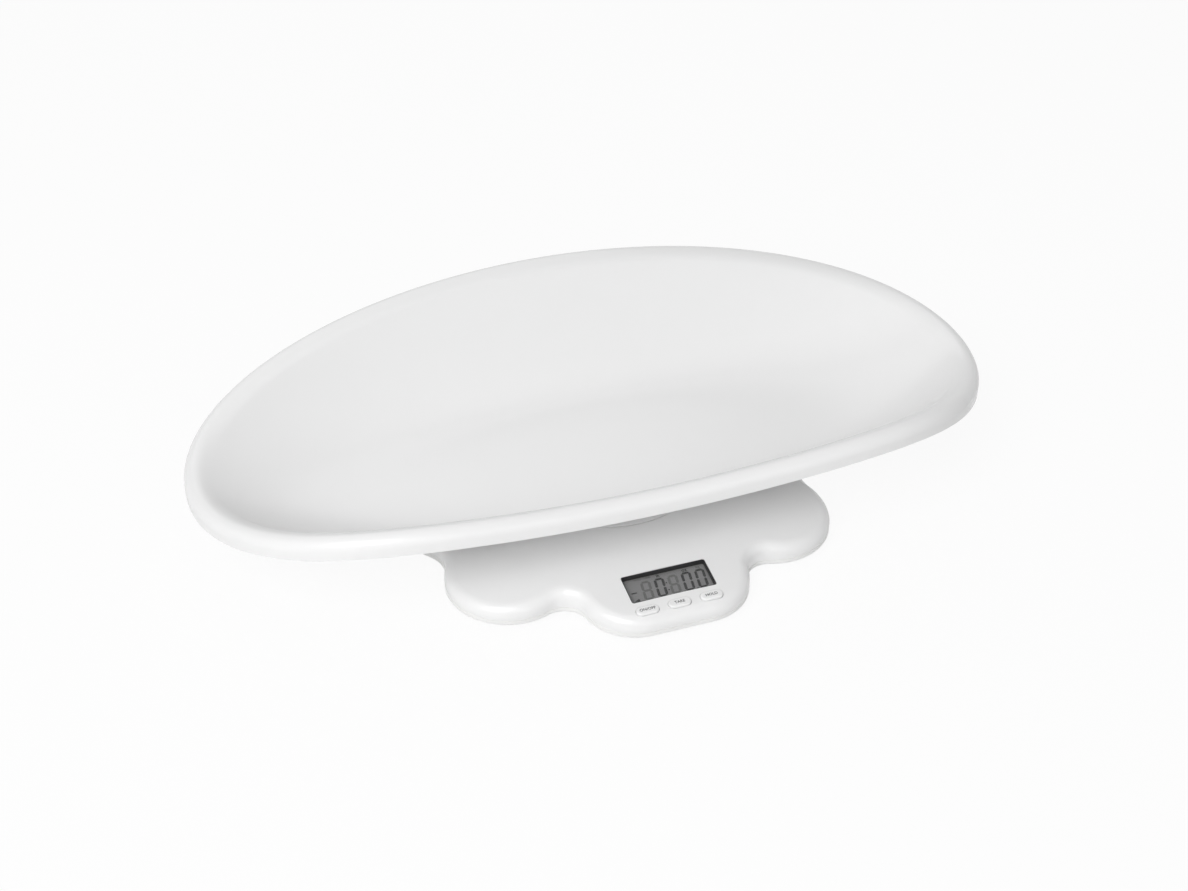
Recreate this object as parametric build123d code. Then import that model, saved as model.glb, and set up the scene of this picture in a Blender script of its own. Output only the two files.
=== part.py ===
from build123d import *
from math import asin, atan2, cos, degrees, hypot, pi, radians, sin, sqrt, tan
import os

# Digital baby weighing scale: a lobed plastic base with a display and three keys, a round
# platform on a single-point load cell, and a lift-off dish-shaped tray with a rolled rim.
# Millimetres, +Z up, the display faces -Y, X runs along the tray. Sub-parts are drawn about the
# axis of the weighing platform and then moved, so that the origin is under the middle of the whole.

# ---- driving dimensions -------------------------------------------------------------------

OUTLINE_MIDDLE_Y = 4.4        # middle of the whole scale, behind the axis of the platform

# Tray rim: the centre line of its rolled edge, as harmonics of the plan angle.
TRAY_LENGTH = 550.0
RIM_CENTRE_Y = -10.3          # middle of the rim before the ends are set back
RIM_HALF_DEPTH = 128.7
RIM_SQUARENESS = -0.063       # third harmonic: blunt or pointed ends
RIM_BACK_SWELL = 0.159        # second harmonic: the rim is longer behind than in front
RIM_END_SETBACK = 33.0        # the ends lie in front of the middle of the tray
RIM_HEIGHT = 73.2
RIM_SADDLE = 10.6             # long sides stand above the ends
RIM_BACK_RISE = 9.8           # back edge stands above the front edge

ROLL_RADIUS = 7.2             # outside radius of the rolled edge
SKIRT_DROP = 6.0              # straight skirt below the centre of the roll
TRAY_WALL = 2.6
FLOOR_HALF_LENGTH = 120.0     # flat oval floor of the dish
FLOOR_HALF_DEPTH = 58.0
FLOOR_CENTRE_Y = 8.0
DISH_CURVE = 1.7              # power law of the dish wall between floor and roll
FOOT_INSET = 1.5              # the dish wall meets the roll this far inside it
FOOT_DROP = 6.0               # and this far below the centre of the roll
RIM_STATIONS = 32             # stations round each lofted ring

SEAT_RING_RADIUS = 49.5       # ring under the tray that stands on the platform
SEAT_RING_WALL = 2.6
SEAT_RING_HEIGHT = 4.1
PEG_CIRCLE_RADIUS = 38.0
PEG_RADIUS = 3.6
PEG_REACH = 1.6               # how far the pegs enter the platform
PEG_EDGE = 0.5
PEG_ANGLES = (45, 135, 225, 315)
PEG_CLEARANCE = 0.4

# Base: plan of the lobed housing.
DISPLAY_LOBE_HALF_WIDTH = 55.9
DISPLAY_LOBE_FRONT = 149.8
BACK_LOBE_REAR = 122.0
LOBE_CORNER_RADIUS = 35.8
CORNER_LOBE_X = 89.8
CORNER_LOBE_Y = 71.6
CORNER_LOBE_RADIUS = 41.2
SIDE_LOBE_X = 97.9
SIDE_LOBE_RADIUS = 45.7
NOTCH_RADIUS = 15.2
WAIST_RADIUS = 24.5

# Base: heights and walls.
FOOT_HEIGHT = 3.0
PARTING_Z = 7.5
CROWN_Z = 27.5                # top of the domed cover, on the platform axis
DOME_RADIUS = 1010.0
EDGE_RADIUS = 7.5
COVER_WALL = 2.4
BOTTOM_WALL = 2.4
BOTTOM_EDGE_RADIUS = 2.0
LIP_WALL = 1.2
LIP_HEIGHT = 2.0
LIP_GAP = 0.1
SEAM_DEPTH, SEAM_HEIGHT = 0.3, 0.5    # shadow groove below the parting line

# Platform and load cell, stacked from the floor of the bottom cover.
PLATFORM_RADIUS = 67.6
PLATFORM_GAP = 0.6
PLATFORM_TOP = 25.5
PLATFORM_EDGE = 0.4
PLATFORM_WALL = 2.4
PLATFORM_SKIRT = 5.6
PLATFORM_RIB_RADIUS = 30.0
BOSS_STEP = 0.8
BASE_PLATE_THICKNESS = 1.2
LOWER_SPACER_THICKNESS = 0.8
CELL_LENGTH, CELL_WIDTH, CELL_HEIGHT = 80.0, 12.7, 9.5
UPPER_SPACER_THICKNESS = 1.5
BRACKET_THICKNESS = 1.5
BRACKET_LENGTH, BRACKET_WIDTH = 90.0, 60.0
BASE_PLATE_X = (-50.0, -8.0)
BASE_PLATE_WIDTH = 44.0
CELL_SCREW_X = (25.0, 35.0)   # both ends, mirrored
CELL_SCREW_RADIUS = 1.95
CELL_HOLE_RADIUS = 2.0
FLEXURE_HOLE_RADIUS = 3.2
FLEXURE_HOLE_X = 6.5
WEIGH_TRAVEL = 0.5

# Display panel, measured in a plane tangent to the cover at the middle of the window.
WINDOW_Y = -121.4
WINDOW_WIDTH, WINDOW_HEIGHT = 56.7, 23.0
WINDOW_CORNER = 1.6
COLLAR_TOP, COLLAR_WALL, COLLAR_GAP = -0.5, 0.4, 0.1
LENS_TOP, LENS_THICKNESS, LENS_GAP = -3.2, 1.0, 0.05
GLASS_WIDTH, GLASS_HEIGHT, GLASS_TOP, GLASS_THICKNESS = 60.0, 27.0, -4.3, 2.0
GLASS_GAP, GLASS_SEAT_GAP = 0.2, 0.1
HOLDER_WIDTH, HOLDER_HEIGHT, HOLDER_TOP, HOLDER_CORNER = 64.0, 28.6, -3.4, 1.0
STRIP_LENGTH, STRIP_WIDTH, STRIP_Y = 54.0, 2.0, 11.2
PCB_TOP, PCB_THICKNESS = -8.5, 1.2
PCB_WIDTH, PCB_FRONT, PCB_REAR, PCB_CORNER = 84.0, -22.0, 18.0, 14.0
KEY_SPACING = 21.3
KEY_PANEL_Y = -19.4
KEY_LENGTH, KEY_WIDTH = 15.0, 7.0
KEY_PROUD = 1.1
KEY_GAP = 0.25
KEY_EDGE = 1.2
KEY_TRAVEL = 0.4
KEY_NAMES = ("on_off", "tare", "hold")
FLANGE_TOP, FLANGE_THICKNESS, FLANGE_EXTRA = -2.7, 1.2, 1.2
PLUNGER_RADIUS, PLUNGER_TOP, PLUNGER_END = 1.7, -4.6, -6.6
SWITCH_SIZE, SWITCH_HEIGHT = 6.0, 3.1
SOCKET_X, SOCKET_REAR, SOCKET_HEIGHT = 31.0, 16.0, 3.4
PCB_POSTS = ((-37.5, 12.0), (37.5, 12.0), (-37.5, -9.0), (37.5, -9.0))

# Insulated wires from the board to the load cell and to the battery bay.
WIRE_BEND = 12.0
CELL_WIRE_RADIUS, CELL_WIRE_OFFSETS = 0.55, (-2.25, -0.75, 0.75, 2.25)
CELL_WIRE_ROUTE = ((-31.0, -58.0, 10.0), (-62.0, -27.0, 10.0), (-62.0, 0.0, 12.0), (-40.2, 0.0, 12.0))
BATTERY_WIRE_RADIUS, BATTERY_WIRE_OFFSETS = 0.65, (-0.9, 0.9)
BATTERY_WIRE_ROUTE = (
    (31.0, -90.0, 10.0), (66.0, -52.0, 10.0), (66.0, 46.0, 10.0), (44.0, 84.0, 10.0), (26.5, 84.0, 10.0)
)

# Battery bay behind the platform, four AAA cells side by side along X.
BAY_X, BAY_Y = 25.0, (62.0, 106.0)
BAY_ROOF = 16.4
BAY_WALL = 1.4
DOOR_THICKNESS = 2.2
DOOR_GAP = 0.3
DOOR_MARGIN = 2.0
HINGE_PIN_RADIUS = 0.7
HINGE_PIN_LENGTH = 1.5
HINGE_HOLE_CLEARANCE = 0.05
CELL_RADIUS_AAA, CELL_LENGTH_AAA = 5.25, 43.3
NUB_RADIUS, NUB_LENGTH = 1.9, 1.2
AAA_PITCH = 11.0
AAA_COUNT = 4

# Feet and case screws.
FOOT_RADIUS = 8.0
FOOT_SEAT = 0.8
CASE_SCREWS = ((-118.0, 0.0), (118.0, 0.0), (-72.0, -88.0), (72.0, -88.0), (-72.0, 88.0), (72.0, 88.0))
CASE_BOSS_RADIUS = 5.0
CASE_BOSS_TOP = 12.0
CASE_SEAT_Z = 6.4
CASE_HEAD_RADIUS, CASE_HEAD_HEIGHT = 3.3, 2.0
CASE_SHANK_RADIUS = 1.45
CASE_SHANK_TOP = 16.0

# ---- heights that follow --------------------------------------------------------------------

FLOOR_TOP = FOOT_HEIGHT + BOTTOM_WALL
BASE_PLATE_Z = FLOOR_TOP + BOSS_STEP
CELL_Z = BASE_PLATE_Z + BASE_PLATE_THICKNESS + LOWER_SPACER_THICKNESS
CELL_TOP = CELL_Z + CELL_HEIGHT
BRACKET_Z = CELL_TOP + UPPER_SPACER_THICKNESS
BRACKET_TOP = BRACKET_Z + BRACKET_THICKNESS
PLATFORM_UNDER = PLATFORM_TOP - PLATFORM_WALL
TRAY_FLOOR = PLATFORM_TOP + SEAT_RING_HEIGHT + TRAY_WALL
BRACKET_SCREWS = [(x, y) for x in (-38.0, 38.0) for y in (-22.0, 22.0)]
BASE_PLATE_SCREWS = [(x, y) for x in (-45.0, -13.0) for y in (-17.0, 17.0)]
FOOT_PLACES = [(x, y) for x in (-CORNER_LOBE_X, CORNER_LOBE_X) for y in (-CORNER_LOBE_Y, CORNER_LOBE_Y)]
KEY_PLACES = [(-KEY_SPACING, KEY_PANEL_Y), (0.0, KEY_PANEL_Y), (KEY_SPACING, KEY_PANEL_Y)]
AAA_PLACES = [BAY_Y[0] + AAA_PITCH * (i + 0.5) for i in range(AAA_COUNT)]
PEG_PLACES = [
    (PEG_CIRCLE_RADIUS * cos(radians(a)), PEG_CIRCLE_RADIUS * sin(radians(a))) for a in PEG_ANGLES
]


def dome_height(x, y):
    """Height of the cover's outer skin above the plan point."""
    return CROWN_Z - DOME_RADIUS + sqrt(DOME_RADIUS**2 - x * x - y * y)


PANEL = Location(
    (0, WINDOW_Y, dome_height(0, WINDOW_Y)), (degrees(asin(-WINDOW_Y / DOME_RADIUS)), 0, 0)
)

# ---- small helpers --------------------------------------------------------------------------


def disc(radius, z0, z1, x=0.0, y=0.0):
    """Upright cylinder between two heights."""
    return Pos(x, y, z0) * Cylinder(radius, z1 - z0, align=(Align.CENTER, Align.CENTER, Align.MIN))


def block(x, y, z):
    """Box between pairs of limits along X, Y and Z."""
    size = [b - a for a, b in (x, y, z)]
    middle = [(a + b) / 2 for a, b in (x, y, z)]
    return Pos(*middle) * Box(*size)


def plate(width, depth, radius, z0, z1, x=0.0, y=0.0):
    """Round-cornered plate between two heights."""
    return extrude(Pos(x, y, z0) * RectangleRounded(width, depth, radius), z1 - z0)


def pill(length, width, z0, z1, x=0.0, y=0.0):
    """Plate with full-round ends."""
    return extrude(Pos(x, y, z0) * SlotOverall(length, width), z1 - z0)


def ring(outer, wall, z0, z1, x=0.0, y=0.0):
    """Tube of a given outer radius and wall."""
    return disc(outer, z0, z1, x, y) - disc(outer - wall, z0, z1, x, y)


def pan_screw(x, y, seat, tip, shank, head_radius, head_height, up=True):
    """Screw whose head bears on the seat height; up is True where the head lies below the seat."""
    head_end = seat - head_height if up else seat + head_height
    head = disc(head_radius, min(seat, head_end), max(seat, head_end), x, y)
    outer_face = head.faces().sort_by(Axis.Z)[0 if up else -1]
    head = fillet(outer_face.edges(), head_height * 0.35)
    return head + disc(shank, min(seat, tip), max(seat, tip), x, y)


def group(solids):
    """Separate solids that share one node."""
    return Compound([s.solids()[0] for s in solids])


# ---- base housing ---------------------------------------------------------------------------


def tangent_arc_centre(a, b, radius):
    """Centre of the arc that joins circles a and b from outside, to the right of the way from a to b."""
    (ax, ay, ar), (bx, by, br) = a, b
    span = hypot(bx - ax, by - ay)
    ux, uy = (bx - ax) / span, (by - ay) / span
    along = ((ar + radius) ** 2 - (br + radius) ** 2 + span**2) / (2 * span)
    off = sqrt((ar + radius) ** 2 - along**2)
    return ax + along * ux + off * uy, ay + along * uy - off * ux


def bearing(origin, target):
    """Direction from one plan point to another, in degrees."""
    return degrees(atan2(target[1] - origin[1], target[0] - origin[0]))


def lobe_chain():
    """Circles of the lobes anticlockwise from the right front, each with the arc radius that follows it."""
    front = (DISPLAY_LOBE_HALF_WIDTH - LOBE_CORNER_RADIUS, LOBE_CORNER_RADIUS - DISPLAY_LOBE_FRONT)
    rear = (front[0], BACK_LOBE_REAR - LOBE_CORNER_RADIUS)
    right = [
        (*front, LOBE_CORNER_RADIUS, NOTCH_RADIUS),
        (CORNER_LOBE_X, -CORNER_LOBE_Y, CORNER_LOBE_RADIUS, WAIST_RADIUS),
        (SIDE_LOBE_X, 0.0, SIDE_LOBE_RADIUS, WAIST_RADIUS),
        (CORNER_LOBE_X, CORNER_LOBE_Y, CORNER_LOBE_RADIUS, NOTCH_RADIUS),
        (*rear, LOBE_CORNER_RADIUS, None),
    ]
    links = [lobe[3] for lobe in right]
    left = [(-x, y, radius, link) for (x, y, radius, _), link in zip(right[::-1], links[-2::-1] + [None])]
    return right + left


def lobed_outline(inset=0.0):
    """Plan of the housing: ten tangent lobes, joined by hollow arcs, straight at the front and the back.

    An inset moves every arc inwards, so that walls keep an even thickness.
    """
    chain = lobe_chain()
    lobes = [(x, y, radius - inset) for x, y, radius, _ in chain]
    leave, arrive, edges = [], [], []
    for i, (_, _, _, link) in enumerate(chain):
        a, b = lobes[i], lobes[(i + 1) % len(lobes)]
        if link is None:
            turn = bearing(a, b) - 90
            leave.append(turn)
            arrive.append(turn)
            side = Vector(cos(radians(turn)), sin(radians(turn))) * a[2]
            edges.append(Line(Vector(a[0], a[1]) + side, Vector(b[0], b[1]) + side))
            continue
        centre = tangent_arc_centre(a, b, link + inset)
        leave.append(bearing(a, centre))
        arrive.append(bearing(b, centre))
        start, end = bearing(centre, a), bearing(centre, b)
        edges.append(CenterArc(centre, link + inset, start, -((start - end) % 360)))
    for i, (x, y, radius) in enumerate(lobes):
        start = arrive[i - 1]
        edges.append(CenterArc((x, y), radius, start, (leave[i] - start) % 360))
    return make_face(edges)


def domed_block(inset, bottom):
    """Solid housing body under its shallow dome, with the top edge rounded all the way round."""
    dome = DOME_RADIUS - inset
    body = extrude(Pos(0, 0, bottom) * lobed_outline(inset), 2 * CROWN_Z, dir=(0, 0, 1))
    body &= Pos(0, 0, CROWN_Z - DOME_RADIUS) * Sphere(dome)
    top = body.faces().sort_by(Axis.Z)[-1]
    return fillet(top.outer_wire().edges(), EDGE_RADIUS - inset)


def cover_posts(inner):
    """Screw posts and display posts that hang from the skin of the cover, trimmed to its inside."""
    posts = []
    for x, y in CASE_SCREWS:
        posts.append(disc(CASE_BOSS_RADIUS - 0.5, CASE_BOSS_TOP, CROWN_Z, x, y) & inner)
    for x, y in PCB_POSTS:
        posts.append(PANEL * disc(2.8, PCB_TOP, 0, x, y) & inner)
    collar = ring(PLATFORM_RADIUS + PLATFORM_GAP + 1.6, 1.6, PLATFORM_UNDER - 4.0, CROWN_Z)
    posts.append(collar & inner)
    return posts


def panel_cuts():
    """Window, seat of the display frame and key holes, cut square to the panel."""
    below, above = PCB_TOP - 0.5, 3.0
    cuts = [window_plate(0, below, above)]
    cuts.append(plate(HOLDER_WIDTH + 1, HOLDER_HEIGHT + 1, HOLDER_CORNER + 0.5, below, HOLDER_TOP + 0.1))
    for x, y in KEY_PLACES:
        cuts.append(pill(KEY_LENGTH + 2 * KEY_GAP, KEY_WIDTH + 2 * KEY_GAP, below, above, x, y))
        cuts.append(pill(KEY_LENGTH + 4, KEY_WIDTH + 4, below, FLANGE_TOP + 0.1, x, y))
    return [PANEL * cut for cut in cuts]


def top_cover():
    """Upper housing: domed, lobed shell with the platform opening and the display panel."""
    inner = domed_block(COVER_WALL, PARTING_Z)
    shell = domed_block(0.0, PARTING_Z) - inner
    for post in cover_posts(inner):
        shell += post
    shell -= disc(PLATFORM_RADIUS + PLATFORM_GAP, 0, 2 * CROWN_Z)
    for cut in panel_cuts():
        shell -= cut
    for x, y in CASE_SCREWS:
        shell -= disc(CASE_SHANK_RADIUS + 0.05, CASE_BOSS_TOP - 1, CASE_SHANK_TOP + 0.5, x, y)
    for x, y in PCB_POSTS:
        shell -= PANEL * disc(0.95, PCB_TOP - 1, PCB_TOP + 4.5, x, y)
    return shell


def floor_ribs(pocket):
    """Ring rib and spokes that stiffen the floor of the bottom cover."""
    top = FLOOR_TOP + 2.6
    ribs = ring(76.0, 1.4, FLOOR_TOP - 0.5, top)
    for angle in (0, 180, 38.6, -38.6, 141.4, -141.4):
        ribs += Rot(0, 0, angle) * block((75.5, 160), (-0.7, 0.7), (FLOOR_TOP - 0.5, top))
    return ribs & pocket


def battery_bay():
    """Open-bottomed box for the four cells, with a thickened rim round its mouth."""
    y0, y1 = BAY_Y
    rim = block((-BAY_X - 5, BAY_X + 5), (y0 - 5, y1 + 5), (FOOT_HEIGHT, FLOOR_TOP + 2.0))
    half = BAY_X + BAY_WALL
    return rim + block((-half, half), (y0 - BAY_WALL, y1 + BAY_WALL), (FLOOR_TOP, BAY_ROOF + BAY_WALL))


def door_hinge():
    """Place of the battery door's hinge line: Y and Z."""
    return BAY_Y[0] - DOOR_MARGIN - DOOR_GAP + DOOR_THICKNESS / 2 + DOOR_GAP, FOOT_HEIGHT + DOOR_THICKNESS / 2


def bay_cuts():
    """Inside of the bay, the recess for its door, the hinge holes, the latch slot and the finger dip."""
    y0, y1 = BAY_Y
    hinge_y, hinge_z = door_hinge()
    margin = DOOR_MARGIN + DOOR_GAP
    half = BAY_X + margin
    recess_top = FOOT_HEIGHT + DOOR_THICKNESS + DOOR_GAP
    cuts = [block((-BAY_X, BAY_X), (y0, y1), (0, BAY_ROOF))]
    cuts.append(block((-half, half), (y0 - margin, y1 + margin), (0, recess_top)))
    pin_reach = half + HINGE_PIN_LENGTH + 0.2
    hole = Rot(0, 90, 0) * Cylinder(HINGE_PIN_RADIUS + HINGE_HOLE_CLEARANCE, 2 * pin_reach)
    cuts.append(Pos(0, hinge_y, hinge_z) * hole)
    cuts.append(block((-7, 7), (y1 - 0.6, y1 + margin), (0, FLOOR_TOP + 3.2)))
    cuts.append(Pos(0, y1 + 6, FOOT_HEIGHT - 7.6) * Sphere(9.0))
    return cuts


def bottom_cover():
    """Lower housing: shallow lobed pan with a locating lip, ribs, bosses and the battery bay."""
    seam = PARTING_Z - SEAM_HEIGHT
    pan = extrude(Pos(0, 0, FOOT_HEIGHT) * lobed_outline(), seam - FOOT_HEIGHT, dir=(0, 0, 1))
    pan = fillet(pan.faces().sort_by(Axis.Z)[0].outer_wire().edges(), BOTTOM_EDGE_RADIUS)
    pan += extrude(Pos(0, 0, seam) * lobed_outline(SEAM_DEPTH), SEAM_HEIGHT, dir=(0, 0, 1))
    lip_inset = COVER_WALL + LIP_GAP
    pocket_face = lobed_outline(lip_inset + LIP_WALL)
    pocket = extrude(Pos(0, 0, FLOOR_TOP) * pocket_face, CROWN_Z, dir=(0, 0, 1))
    lip_height = PARTING_Z + LIP_HEIGHT - FLOOR_TOP
    pan += extrude(Pos(0, 0, FLOOR_TOP) * lobed_outline(lip_inset), lip_height, dir=(0, 0, 1))
    pan -= pocket
    pan += floor_ribs(extrude(Pos(0, 0, FLOOR_TOP - 1) * pocket_face, 10, dir=(0, 0, 1)))
    for x, y in CASE_SCREWS:
        pan += disc(CASE_BOSS_RADIUS, FLOOR_TOP - 0.5, CASE_BOSS_TOP, x, y)
    for x, y in BASE_PLATE_SCREWS:
        pan += disc(3.6, FLOOR_TOP - 0.5, BASE_PLATE_Z, x, y)
    pan += battery_bay()
    for cut in bay_cuts():
        pan -= cut
    for x, y in CASE_SCREWS:
        pan -= disc(CASE_HEAD_RADIUS + 0.4, 0, CASE_SEAT_Z, x, y)
        pan -= disc(CASE_SHANK_RADIUS + 0.35, 0, CASE_BOSS_TOP + 1, x, y)
    for x, y in BASE_PLATE_SCREWS:
        pan -= disc(1.3, FOOT_HEIGHT + 0.8, BASE_PLATE_Z + 1, x, y)
    for x, y in FOOT_PLACES:
        pan -= disc(FOOT_RADIUS + 0.2, 0, FOOT_HEIGHT + FOOT_SEAT, x, y)
    return pan


def case_screws():
    """Six screws that hold the two halves of the housing together."""
    return group([
        pan_screw(x, y, CASE_SEAT_Z, CASE_SHANK_TOP, CASE_SHANK_RADIUS, CASE_HEAD_RADIUS, CASE_HEAD_HEIGHT)
        for x, y in CASE_SCREWS
    ])


def rubber_feet():
    """Four soft pads let into the underside."""
    feet = []
    for x, y in FOOT_PLACES:
        foot = disc(FOOT_RADIUS, 0, FOOT_HEIGHT + FOOT_SEAT, x, y)
        feet.append(fillet(foot.faces().sort_by(Axis.Z)[0].edges(), 1.0))
    return group(feet)


# ---- battery bay ----------------------------------------------------------------------------


def battery_door():
    """Door with a full-round hinge edge, two side pins, stiffening ribs and a latch tongue."""
    hinge_y, hinge_z = door_hinge()
    half = BAY_X + DOOR_MARGIN
    rear = BAY_Y[1] + DOOR_MARGIN
    door = block((-half, half), (hinge_y, rear), (FOOT_HEIGHT, FOOT_HEIGHT + DOOR_THICKNESS))
    barrel = Rot(0, 90, 0) * Cylinder(DOOR_THICKNESS / 2, 2 * half)
    pins = Rot(0, 90, 0) * Cylinder(HINGE_PIN_RADIUS, 2 * (half + DOOR_GAP + HINGE_PIN_LENGTH))
    door += Pos(0, hinge_y, hinge_z) * (barrel + pins)
    door += block((-5.5, 5.5), (BAY_Y[1] + 0.1, BAY_Y[1] + 1.3), (FOOT_HEIGHT + 1, FLOOR_TOP + 2.4))
    for y in (BAY_Y[0] + AAA_PITCH, BAY_Y[1] - AAA_PITCH):
        door += block((-BAY_X + 3, BAY_X - 3), (y - 0.7, y + 0.7), (FOOT_HEIGHT + 1, FLOOR_TOP - 0.1))
    grip = Pos(0, rear - 5.5, FOOT_HEIGHT - 8.3) * Sphere(9.0)
    return door - grip


def batteries():
    """Four AAA cells, every second one turned round."""
    cells = []
    z = BAY_ROOF - CELL_RADIUS_AAA - 0.3
    for i, y in enumerate(AAA_PLACES):
        can = Rot(0, 90, 0) * Cylinder(CELL_RADIUS_AAA, CELL_LENGTH_AAA)
        can = fillet(can.edges().filter_by(GeomType.CIRCLE), 0.5)
        nub = Pos(CELL_LENGTH_AAA / 2, 0, 0) * (Rot(0, 90, 0) * Cylinder(NUB_RADIUS, 2 * NUB_LENGTH))
        turn = 0 if i % 2 == 0 else 180
        cells.append(Pos(0, y, z) * (Rot(0, 0, turn) * (can + nub)))
    return group(cells)


def contact(side, y, sprung):
    """Contact plate on one end wall of the bay; a sprung one has a bowed leaf."""
    z0, z1 = FLOOR_TOP + 1.2, BAY_ROOF - 0.6
    wall = BAY_X - 0.05
    strip = block((wall - 0.4, wall), (y - 4, y + 4), (z0, z1))
    if sprung:
        reach = wall - CELL_LENGTH_AAA / 2 - 0.15
        middle = (z0 + z1) / 2
        bow = Polyline(
            (wall - 0.3, z0 + 0.5), (wall - reach, middle - 0.3), (wall - reach, middle + 0.3),
            (wall - 0.3, z1 - 0.5), (wall - 0.3, z1 - 1.1), (wall - reach + 0.4, middle),
            (wall - 0.3, z0 + 1.1), close=True
        )
        leaf = extrude(Plane.XZ.offset(-y - 2.5) * make_face(bow), 5.0)
        strip += leaf
    return strip if side > 0 else mirror(strip, Plane.YZ)


def battery_contacts(sprung):
    """All flat contacts, which meet the nubs, or all sprung ones, which meet the cans."""
    parts = []
    for i, y in enumerate(AAA_PLACES):
        nub_side = 1 if i % 2 == 0 else -1
        parts.append(contact(-nub_side if sprung else nub_side, y, sprung))
    return group(parts)


# ---- weighing mechanism ---------------------------------------------------------------------


def load_cell():
    """Single-point beam: two joined flexure holes through its side, tapped holes at both ends."""
    beam = block((-CELL_LENGTH / 2, CELL_LENGTH / 2), (-CELL_WIDTH / 2, CELL_WIDTH / 2), (CELL_Z, CELL_TOP))
    beam = chamfer(beam.edges().filter_by(Axis.X), 0.4)
    middle = (CELL_Z + CELL_TOP) / 2
    for x in (-FLEXURE_HOLE_X, FLEXURE_HOLE_X):
        beam -= Pos(x, 0, middle) * (Rot(90, 0, 0) * Cylinder(FLEXURE_HOLE_RADIUS, 2 * CELL_WIDTH))
    beam -= block((-FLEXURE_HOLE_X, FLEXURE_HOLE_X), (-CELL_WIDTH, CELL_WIDTH), (middle - 0.6, middle + 0.6))
    for x in CELL_SCREW_X:
        beam -= disc(CELL_HOLE_RADIUS, CELL_Z - 1, CELL_TOP + 1, x)
        beam -= disc(CELL_HOLE_RADIUS, CELL_Z - 1, CELL_TOP + 1, -x)
    return beam


def gauge_potting():
    """Soft sealant over the strain gauges, above and below the flexures."""
    above = plate(26.0, CELL_WIDTH - 1.5, 2.0, CELL_TOP, CELL_TOP + 0.6)
    below = plate(15.0, CELL_WIDTH - 1.5, 2.0, CELL_Z - 0.6, CELL_Z, x=0.5)
    return group([above, below])


def spacer(z0, z1, side):
    """Square washer plate between a plate and one end of the beam."""
    middle = side * sum(CELL_SCREW_X) / 2
    pad = plate(20.0, CELL_WIDTH, 1.0, z0, z1, x=middle)
    for x in CELL_SCREW_X:
        pad -= disc(CELL_SCREW_RADIUS + 0.2, z0 - 1, z1 + 1, side * x)
    return pad


def countersunk(x, outer, inner, tip):
    """Countersunk screw whose flat head lies flush with the outer height."""
    depth = abs(inner - outer)
    radii = (CELL_SCREW_RADIUS + depth, CELL_SCREW_RADIUS)
    low, high = min(outer, inner), max(outer, inner)
    bottom, top = radii if outer < inner else radii[::-1]
    cone = Pos(x, 0, low) * Cone(bottom, top, high - low, align=(Align.CENTER, Align.CENTER, Align.MIN))
    return cone + disc(CELL_SCREW_RADIUS, min(inner, tip), max(inner, tip), x)


def sunk_hole(x, outer, inner):
    """Seat of a countersunk screw through a plate."""
    slack = 0.1
    depth = abs(inner - outer)
    radii = (CELL_SCREW_RADIUS + depth + slack, CELL_SCREW_RADIUS + slack)
    low, high = min(outer, inner), max(outer, inner)
    bottom, top = radii if outer < inner else radii[::-1]
    return Pos(x, 0, low) * Cone(bottom, top, high - low, align=(Align.CENTER, Align.CENTER, Align.MIN))


def load_cell_base_plate():
    """Steel plate that spreads the fixed end of the beam over four bosses."""
    x0, x1 = BASE_PLATE_X
    top = BASE_PLATE_Z + BASE_PLATE_THICKNESS
    sheet = plate(x1 - x0, BASE_PLATE_WIDTH, 4.0, BASE_PLATE_Z, top, x=(x0 + x1) / 2)
    for x, y in BASE_PLATE_SCREWS:
        sheet -= disc(1.5, 0, 20, x, y)
    for x in CELL_SCREW_X:
        sheet -= sunk_hole(-x, BASE_PLATE_Z, top)
    return sheet


def platform_bracket():
    """Steel plate on the free end of the beam, which carries the platform over the beam's middle."""
    sheet = plate(BRACKET_LENGTH, BRACKET_WIDTH, 10.0, BRACKET_Z, BRACKET_TOP)
    for x, y in BRACKET_SCREWS:
        sheet -= disc(1.5, 0, 30, x, y)
    for x in CELL_SCREW_X:
        sheet -= sunk_hole(x, BRACKET_TOP, BRACKET_Z)
    for y in (-19.0, 19.0):
        sheet -= pill(34.0, 9.0, 0, 30, 0, y)
    return sheet


def load_cell_screws(side):
    """Two countersunk screws at the fixed (-1) or free (+1) end of the beam."""
    screws = []
    for x in CELL_SCREW_X:
        if side < 0:
            top = BASE_PLATE_Z + BASE_PLATE_THICKNESS
            screws.append(countersunk(-x, BASE_PLATE_Z, top, CELL_TOP - 2.0))
        else:
            screws.append(countersunk(x, BRACKET_TOP, BRACKET_Z, CELL_Z + 2.0))
    return group(screws)


def base_plate_screws():
    """Four screws that hold the base plate down on its bosses."""
    seat = BASE_PLATE_Z + BASE_PLATE_THICKNESS
    return group([
        pan_screw(x, y, seat, FOOT_HEIGHT + 1.2, 1.25, 2.6, 1.6, up=False) for x, y in BASE_PLATE_SCREWS
    ])


def platform_screws():
    """Four screws that hold the platform to its bracket, heads below."""
    return group([
        pan_screw(x, y, BRACKET_Z, PLATFORM_UNDER - 0.6, 1.25, 2.6, 1.6) for x, y in BRACKET_SCREWS
    ])


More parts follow.
